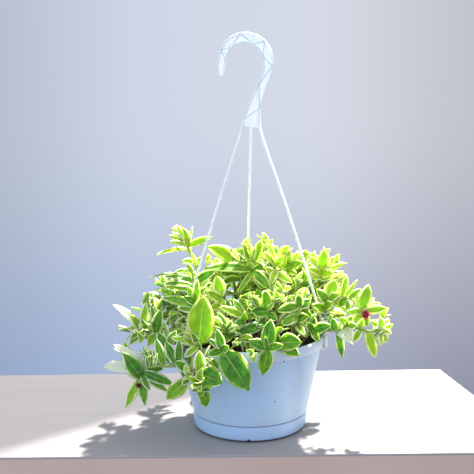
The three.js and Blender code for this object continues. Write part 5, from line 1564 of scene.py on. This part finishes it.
def build_soil():
    corners = [vec(0, 0, soil_height(0, 0))]
    for i in range(SOIL_RINGS):
        radius = SOIL_RADIUS * (i + 1) / SOIL_RINGS
        for x, y, z in ring_of(vec(0, 0, 0), EAST, NORTH, radius, SOIL_TURNS):
            corners.append(vec(x, y, soil_height(x, y)))
    for radius, z in SOIL_SIDE:
        corners += ring_of(vec(0, 0, z), EAST, NORTH, radius, SOIL_TURNS)
    corners.append(vec(0, 0, SOIL_SIDE[-1][1]))
    faces = domed_tube(SOIL_TURNS, SOIL_RINGS + len(SOIL_SIDE), turned_over=True)
    piece = add_piece("potting_mix", corners, faces, [soil_material()])
    finish_piece(piece, "soil")
    return piece


soil = build_soil()
print("soil faces:", len(soil.data.polygons))

# %% [markdown]
# ## Pot and drip tray
# The pot is turned from one outline: a thin wall that widens towards a rolled collar, and a skirt foot that
# drops into the clip-on tray. The solid has flat sides, which would show as facets in raking light, so the
# same outline is turned again with many more sides and with its corners rounded.

# %% Turning an outline
TURNS = 144
CORNER_RADIUS = 0.7


def rounded(profile):
    """Cuts each corner of the outline with a short arc."""
    out = [profile[0]]
    for before, corner, after in zip(profile, profile[1:], profile[2:]):
        corner = vec(*corner)
        back = vec(*before) - corner
        ahead = vec(*after) - corner
        reach = min(CORNER_RADIUS, 0.45 * size_of(back), 0.45 * size_of(ahead))
        start = corner + unit(back) * reach
        end = corner + unit(ahead) * reach
        for f in (0.0, 0.5, 1.0):
            out.append(tuple(start * (1 - f) ** 2 + corner * 2 * f * (1 - f) + end * f * f))
    out.append(profile[-1])
    return out


def turned(name, profile, material):
    """A round piece from an outline that starts and ends on the axis."""
    first, *inner, last = rounded(profile)
    corners = [vec(0, 0, first[1])]
    for r, z in inner:
        corners += ring_of(vec(0, 0, z), EAST, NORTH, r, TURNS)
    corners.append(vec(0, 0, last[1]))
    return add_piece(name, corners, domed_tube(TURNS, len(inner)), [material])


print("points of a rounded square outline:", len(rounded([(0, 0), (5, 0), (5, 5), (0, 5)])))

# %% White moulded plastic
# Crumbs of soil under the collar and on the wall, and the painted shade of the moulding notch at the tray's
# foot: x, y, z and radius.
CRUMBS = [
    (33.1, -66.2, 87.1, 1.1), (36.8, -63.7, 84.9, 0.7), (40.5, -61.4, 84.7, 0.8), (23.6, -70.0, 86.5, 0.7),
    (63.6, -45.7, 92.6, 0.9), (56.9, -46.7, 84.9, 0.7), (25.0, -60.6, 44.2, 1.0), (-24.8, -59.9, 40.5, 0.6),
]
FOOT_NOTCH_SHADE = [(-1.4, -58.3, 2.4, 2.0)]
PAINTED_SIDE_SHADE = (34 * MM, 52 * MM)  # painted shade: the sunlit side is painted greyer beyond the second x than before the first
SEAM_SHADE = (0.4 * MM, 1.5 * MM)  # how far from the seam the painted shade starts to fade and where it ends
FOOT_SHADOW = (1.3 * MM, 2.7 * MM)  # the heights between which the painted shadow at the foot fades
ABOVE_ALL = 1.0  # metres


def add_marks(tree, at, tint, marks, dark):
    """Small round marks of a darker colour."""
    for x, y, z, size in marks:
        spot = (x * MM, y * MM, z * MM)
        away = node(tree, "ShaderNodeVectorMath", {"operation": "DISTANCE"}, i0=at, i1=spot).outputs["Value"]
        tint = blend(tree, step(tree, away, 0.5 * size * MM, size * MM), dark, tint)
    return tint


def add_dirt_and_shade(tree, at, tint, marks):
    """Painted shade in the seam, a painted shadow along the foot, and the given marks: crumbs of soil on
    the pot, and on the tray the painted shade of the moulding notch at its foot.
    """
    height = parts_of(tree, at)[2]
    from_seam = math_node(tree, "ABSOLUTE", minus(tree, height, WALL_LOW * MM))
    # Painted shade in the seam
    tint = blend(tree, fall(tree, from_seam, *SEAM_SHADE), tint, colour("6b7ba6"), 0.42)
    # Painted shadow along the foot
    tint = blend(tree, step(tree, height, *FOOT_SHADOW), colour("2a3550"), tint)
    return add_marks(tree, at, tint, marks, colour("3b2c22"))


def add_rib_shade(tree, tint):
    """Painted shade along the raised ribs of the hook: they are painted a little greyer than the web between
    them.
    """
    gap = node(tree, "ShaderNodeAttribute", {"attribute_name": "rib_gap"}).outputs["Fac"]
    return blend(tree, fall(tree, gap, 0.25, 0.8), tint, colour("9fb4c6"), 0.42)


def plastic_material(name, base, dirt, rough, thick, cloudy, lit_collar_from=ABOVE_ALL, marks=()):
    """Slightly cloudy white plastic with mould lines, scuffs and specks. The pot also has a painted whiter
    collar, and the pot and tray have painted shade on the sunlit side, in the seam and at the foot. The
    ribbed hanger has no marks, only painted shade along its ribs.
    """
    material, tree, surface = new_material(name)
    at = place(tree)
    spot = parts_of(tree, at)
    cloud = noise(tree, at, 22.0, 4.0)
    drawn = noise(tree, stretched(tree, at, 1, 1, 0.06), 160.0, 3.0)
    specks = noise(tree, at, 190.0, 2.0, 0.7)
    smudge = noise(tree, at, 46.0, 5.0, 0.65)
    tint = blend(tree, cloud, base, colour("f2f6fb"), 0.4)
    tint = blend(tree, drawn, tint, colour("b9c3d2"), 0.12)
    # Painted shade: on the pieces with marks, the pot and the tray, the sunlit right side is painted greyer.
    if marks:
        tint = blend(tree, step(tree, spot[0], *PAINTED_SIDE_SHADE), tint, colour("a2c2dd"))
    # Painted light: from the collar's lower edge up, the plastic is painted whiter, as if lit by the sun.
    tint = blend(tree, step(tree, spot[2], lit_collar_from, lit_collar_from + MM), tint, colour("eef5ff"), 0.6)
    tint = blend(tree, step(tree, smudge, 0.56, 0.76), tint, colour("a39a88"), dirt)
    tint = blend(tree, step(tree, specks, 0.735, 0.76), tint, colour("5d4a38"), dirt * 4.5)
    tint = add_dirt_and_shade(tree, at, tint, marks) if marks else add_rib_shade(tree, tint)
    span = {"To_Min": rough - 0.06, "To_Max": rough + 0.12}
    gloss = node(tree, "ShaderNodeMapRange", Value=smudge, **span).outputs[0]
    dress(tree, surface, tint, bump(tree, drawn, 0.05, 0.0004), gloss, (cloudy, (1.0, 1.0, 1.1), thick))
    return material


IN_USE = (0.12, 0.42, 0.002, 0.12)  # dirt, roughness, depth of the glow and how cloudy
CLEAN = (0.04, 0.3, 0.003, 0.5)
POT_STUFF = plastic_material("pot_plastic", colour("bbe0ff"), *IN_USE, COLLAR_LOW * MM, CRUMBS)
TRAY_STUFF = plastic_material("tray_plastic", colour("a6d0ff"), *IN_USE, marks=FOOT_NOTCH_SHADE)
HANGER_STUFF = plastic_material("hanger_plastic", colour("f6fafd"), *CLEAN)
print("kinds of plastic:", [each.name for each in (POT_STUFF, TRAY_STUFF, HANGER_STUFF)])

# %% Pot and tray
SKIRT_RADIUS = 54.8
POT_FLOOR = 6.0
WALL = 2.0
POT_OUTLINE = [  # radius and z, from the axis below, up the outside and down the inside
    (0, POT_FLOOR),
    (SKIRT_RADIUS - 0.3, POT_FLOOR),
    (SKIRT_RADIUS + 0.8, WALL_LOW - 0.3),
    (WALL_LOW_RADIUS - 0.5, WALL_LOW - 0.1),
    (WALL_LOW_RADIUS, WALL_LOW + 0.6),
    (WALL_TOP_RADIUS, COLLAR_LOW),
    (COLLAR_RADIUS - 0.6, COLLAR_LOW + 0.3),
    (COLLAR_RADIUS, POT_TOP - 2.4),
    (COLLAR_RADIUS - 1, POT_TOP - 0.5),
    (COLLAR_RADIUS - 2.2, POT_TOP),
    (COLLAR_RADIUS - 4, POT_TOP - 1.4),
    (WALL_TOP_RADIUS - WALL + 0.2, COLLAR_LOW + 1),
    (WALL_LOW_RADIUS - WALL, WALL_LOW + WALL + 0.4),
    (SKIRT_RADIUS + 0.8 - WALL, WALL_LOW + WALL - 0.4),
    (SKIRT_RADIUS - WALL, POT_FLOOR + WALL),
    (0, POT_FLOOR + WALL),
]
TRAY_OUTLINE = [
    (0, 0), (55.4, 0), (57.8, 1.1), (58.9, 3.4), (59.6, 16.4), (58.0, 16.4), (SKIRT_RADIUS - 0.2, 2),
    (46, 2), (45.4, 5.7), (43.6, 5.7), (43, 2), (0, 2),
]
HOLE_RADIUS = 3.5
HOLE_SIDES = 20
HOLE_CIRCLE = 30.0
HOLE_PLACES = [vec(0, 0, 0)] + ring_of(vec(0, 0, 0), EAST, NORTH, HOLE_CIRCLE, 5)


def drill(spot):
    """The skin of a drill that goes through the floor of the pot."""
    corners = []
    for z in (POT_FLOOR - 2, POT_FLOOR + WALL + 2):
        corners += ring_of(spot + UP * z, EAST, NORTH, HOLE_RADIUS, HOLE_SIDES)
    return corners, closed_tube(HOLE_SIDES, 2)


pot = turned("white_pot", POT_OUTLINE, POT_STUFF)
drills = add_piece("drills", *join_skins([drill(spot) for spot in HOLE_PLACES]), [POT_STUFF])
combine(pot, "DIFFERENCE", drills)
finish_piece(pot, "pot")
tray = turned("white_tray", TRAY_OUTLINE, TRAY_STUFF)
finish_piece(tray, "drip_tray")
print("pot faces:", len(pot.data.polygons), "tray faces:", len(tray.data.polygons))

# %% [markdown]
# ## Hanger
# The hanger is one moulding of white, slightly see-through plastic: a flat hook with a raised border and a
# zigzag of thin ribs on both faces, three strands, and a claw at the end of each that grips the collar. The
# hook is a grid of points, so far along the band and so far across it. How thick the band is at a point
# comes from how near the point is to the border and to the closest rib.

# %% The hook's line and its ribs
HOOK_ROWS = [  # x, z and half the width of the band, from the tip to the foot
    (-28.6, 363.4, 2.7), (-28.7, 368, 3.5), (-28.3, 376, 4), (-25.3, 386.5, 4.6), (-17.6, 395.4, 5.1),
    (-5.4, 399.1, 5.4), (7.4, 395.4, 5.6), (15.2, 387, 5.6), (17.8, 376.8, 5.4), (16.8, 365, 5),
    (11.9, 351, 4.9), (6.6, 338, 5.9), (2.8, 326, 7), (0.4, 312.6, 8.6),
]
HOOK_LINE = [vec(*row) for row in HOOK_ROWS]
HOOK_FOOT = 311.0
WEB_HALF = 1.2
BORDER_HALF = 2.5
BORDER_WIDTH = 1.5
BORDER_SLOPE = 0.25
RIB_HALF = 1.5
RIB_WIDTH = 0.62
RIB_SLOPE = 0.3
RIB_PLACES = (0.173, 0.223, 0.278, 0.363, 0.444, 0.491, 0.581, 0.649, 0.764, 0.887, 0.962)
EDGE_ROUND = 0.4  # the edge is rounded over this width, and is this much thinner


def hook_station(t):
    """Middle of the band, the direction along it and half its width, in the hook's own flat plane."""
    x, z, half = curve_point(HOOK_LINE, t)
    ahead = curve_point(HOOK_LINE, min(t + 0.01, 1.0))
    behind = curve_point(HOOK_LINE, max(t - 0.01, 0.0))
    return vec(x, z), unit(ahead[:2] - behind[:2]), half


def across_band(along):
    return vec(-along[1], along[0])


def rib_lines():
    """The zigzag: each rib runs from one border to the other."""
    ends = []
    for k, t in enumerate(RIB_PLACES):
        middle, along, half = hook_station(t)
        side = -1 if k % 2 == 0 else 1
        ends.append(middle + across_band(along) * side * (half - 1.0))
    return list(zip(ends, ends[1:]))


RIBS = rib_lines()


def from_rib(spot):
    """How far the spot is from the nearest rib."""
    nearest = FAR
    for a, b in RIBS:
        run = b - a
        t = limit(float((spot - a) @ run) / float(run @ run))
        nearest = min(nearest, size_of(spot - a - run * t))
    return nearest


def half_thickness(spot, from_edge):
    border = 1 - limit((from_edge - BORDER_WIDTH) / BORDER_SLOPE)
    rib = 1 - limit((from_rib(spot) - RIB_WIDTH / 2) / RIB_SLOPE)
    height = WEB_HALF + max(border * (BORDER_HALF - WEB_HALF), rib * (RIB_HALF - WEB_HALF))
    return height - 0.5 * max(0.0, 1 - from_edge / EDGE_ROUND) ** 2


print("ribs:", len(RIBS), "thickness at the first rib:", round(2 * half_thickness(RIBS[0][0], 2.0), 2))

# %% The hook's band
EDGE_LANES = (0.0, 0.12, 0.4, 1.0, BORDER_WIDTH, BORDER_WIDTH + BORDER_SLOPE)
WEB_LANES = 16
HOOK_STATIONS = 300
TIP_STATIONS = 7
FOOT_ENDS = ((0.7, 0.93), (1.3, 0.75), (1.6, 0.5))  # how far below the last station and share of its width


def lanes_across(half):
    """Offsets from the middle line and distances from the edge, closer together at the border."""
    squeeze = min(1.0, half / HOOK_ROWS[0][2])
    edge = [(half - e * squeeze, e) for e in EDGE_LANES]
    inner = edge[-1][0]
    web = [(inner * (1 - 2 * k / WEB_LANES), EDGE_LANES[-1] + 1) for k in range(1, WEB_LANES)]
    return edge + web + [(-offset, e) for offset, e in reversed(edge)]


def hook_skin():
    middle, along, half = hook_station(0)
    stations = []
    for k in range(TIP_STATIONS):
        back = math.cos(math.pi / 2 * k / TIP_STATIONS)
        stations.append((middle - along * half * back, along, half * math.sqrt(1 - back * back) + 0.05))
    stations += [hook_station(k / HOOK_STATIONS) for k in range(HOOK_STATIONS + 1)]
    middle, along, half = stations[-1]
    stations += [(middle + along * sag, along, half * share) for sag, share in FOOT_ENDS]
    corners = []
    for middle, along, half in stations:
        front = []
        for offset, from_edge in lanes_across(half):
            spot = middle + across_band(along) * offset
            front.append((spot, half_thickness(spot, from_edge)))
        corners += [vec(spot[0], -height, spot[1]) for spot, height in front]
        corners += [vec(spot[0], height, spot[1]) for spot, height in reversed(front)]
    return corners, closed_tube(len(corners) // len(stations), len(stations), turned_over=True)


print("corners of the hook:", len(hook_skin()[0]))

# %% Claws
STRAND_RADIUS = 1.35
CLAW_HALF_WIDTH = 2.75
SLOT_HALF_WIDTH = 0.75
CLAW_TOP = 103.4
CLAW_SHOULDER = 102.2
CLAW_CATCH = 88.5  # height of the tongue that grips below the collar
TONGUE_THICK = 2.4
SLOT_TOP = 98.5
SLOT_LOW = 91.5
SUNK = 0.2  # how far the bridges over the slot lie below the prongs' faces


def claw_parts():
    """Outlines in r and z, and the part of the width that each covers: two prongs joined round a slot."""
    inner = COLLAR_RADIUS + CLAW_GAP
    outer = inner + CLAW_DEPTH
    low = CLAW_CATCH - TONGUE_THICK
    lead = wall_radius(low) + 1.6
    whole = [
        (inner, CLAW_SHOULDER), (inner + 0.6, CLAW_TOP), (outer - 0.6, CLAW_TOP), (outer, CLAW_SHOULDER),
        (outer, low + 1), (outer - 1, low), (lead, low), (lead, CLAW_CATCH), (inner, CLAW_CATCH),
    ]
    above = [
        (inner + SUNK, SLOT_TOP), (inner + SUNK, CLAW_TOP - 0.4), (outer - SUNK, CLAW_TOP - 0.4),
        (outer - SUNK, SLOT_TOP),
    ]
    below = [
        (lead + SUNK, low + SUNK), (lead + SUNK, CLAW_CATCH - SUNK), (inner + SUNK, SLOT_LOW),
        (outer - SUNK, SLOT_LOW), (outer - SUNK, low + 0.6),
    ]
    return [
        (whole, -CLAW_HALF_WIDTH, -SLOT_HALF_WIDTH),
        (whole, SLOT_HALF_WIDTH, CLAW_HALF_WIDTH),
        (above, -SLOT_HALF_WIDTH, SLOT_HALF_WIDTH),
        (below, -SLOT_HALF_WIDTH, SLOT_HALF_WIDTH),
    ]


def claw_skin(degrees):
    outward = around(EAST, NORTH, degrees)
    sideways = around(NORTH, -EAST, degrees)
    skins = []
    for outline_rz, low_side, high_side in claw_parts():
        corners = []
        for offset in (low_side, high_side):
            corners += [outward * r + sideways * offset + UP * z for r, z in outline_rz]
        skins.append((corners, closed_tube(len(outline_rz), 2, turned_over=True)))
    return join_skins(skins)


print("corners of a claw:", len(claw_skin(0)[0]))

# %% The whole hanger
NO_RIB = 9.0  # what the corners below the hook say about the nearest rib
SHARP_ANGLE = 40


def build_hanger():
    skins = []
    for strand in STRANDS:
        skins += [stem_skin(strand_path(*strand), STRAND_RADIUS, STRAND_RADIUS)[:2], claw_skin(strand[0])]
    piece = add_piece("white_hanger", *hook_skin(), [HANGER_STUFF])
    combine(piece, "UNION", add_piece("strands", *join_skins(skins), [HANGER_STUFF]), within_itself=True)
    mesh = piece.data
    # Distance of each corner to the nearest rib, for the painted shade along the ribs
    gaps = []
    for corner in mesh.vertices:
        x, y, z = corner.co
        gaps.append(from_rib(vec(x, z) / MM) if z > HOOK_FOOT * MM else NO_RIB)
    mesh.attributes.new("rib_gap", "FLOAT", "POINT").data.foreach_set("value", gaps)
    mesh.polygons.foreach_set("use_smooth", [True] * len(mesh.polygons))
    mesh.set_sharp_from_angle(angle=math.radians(SHARP_ANGLE))
    finish_piece(piece, "hanger")
    return piece


hanger = build_hanger()
print("hanger faces:", len(hanger.data.polygons), "corners:", len(hanger.data.vertices))
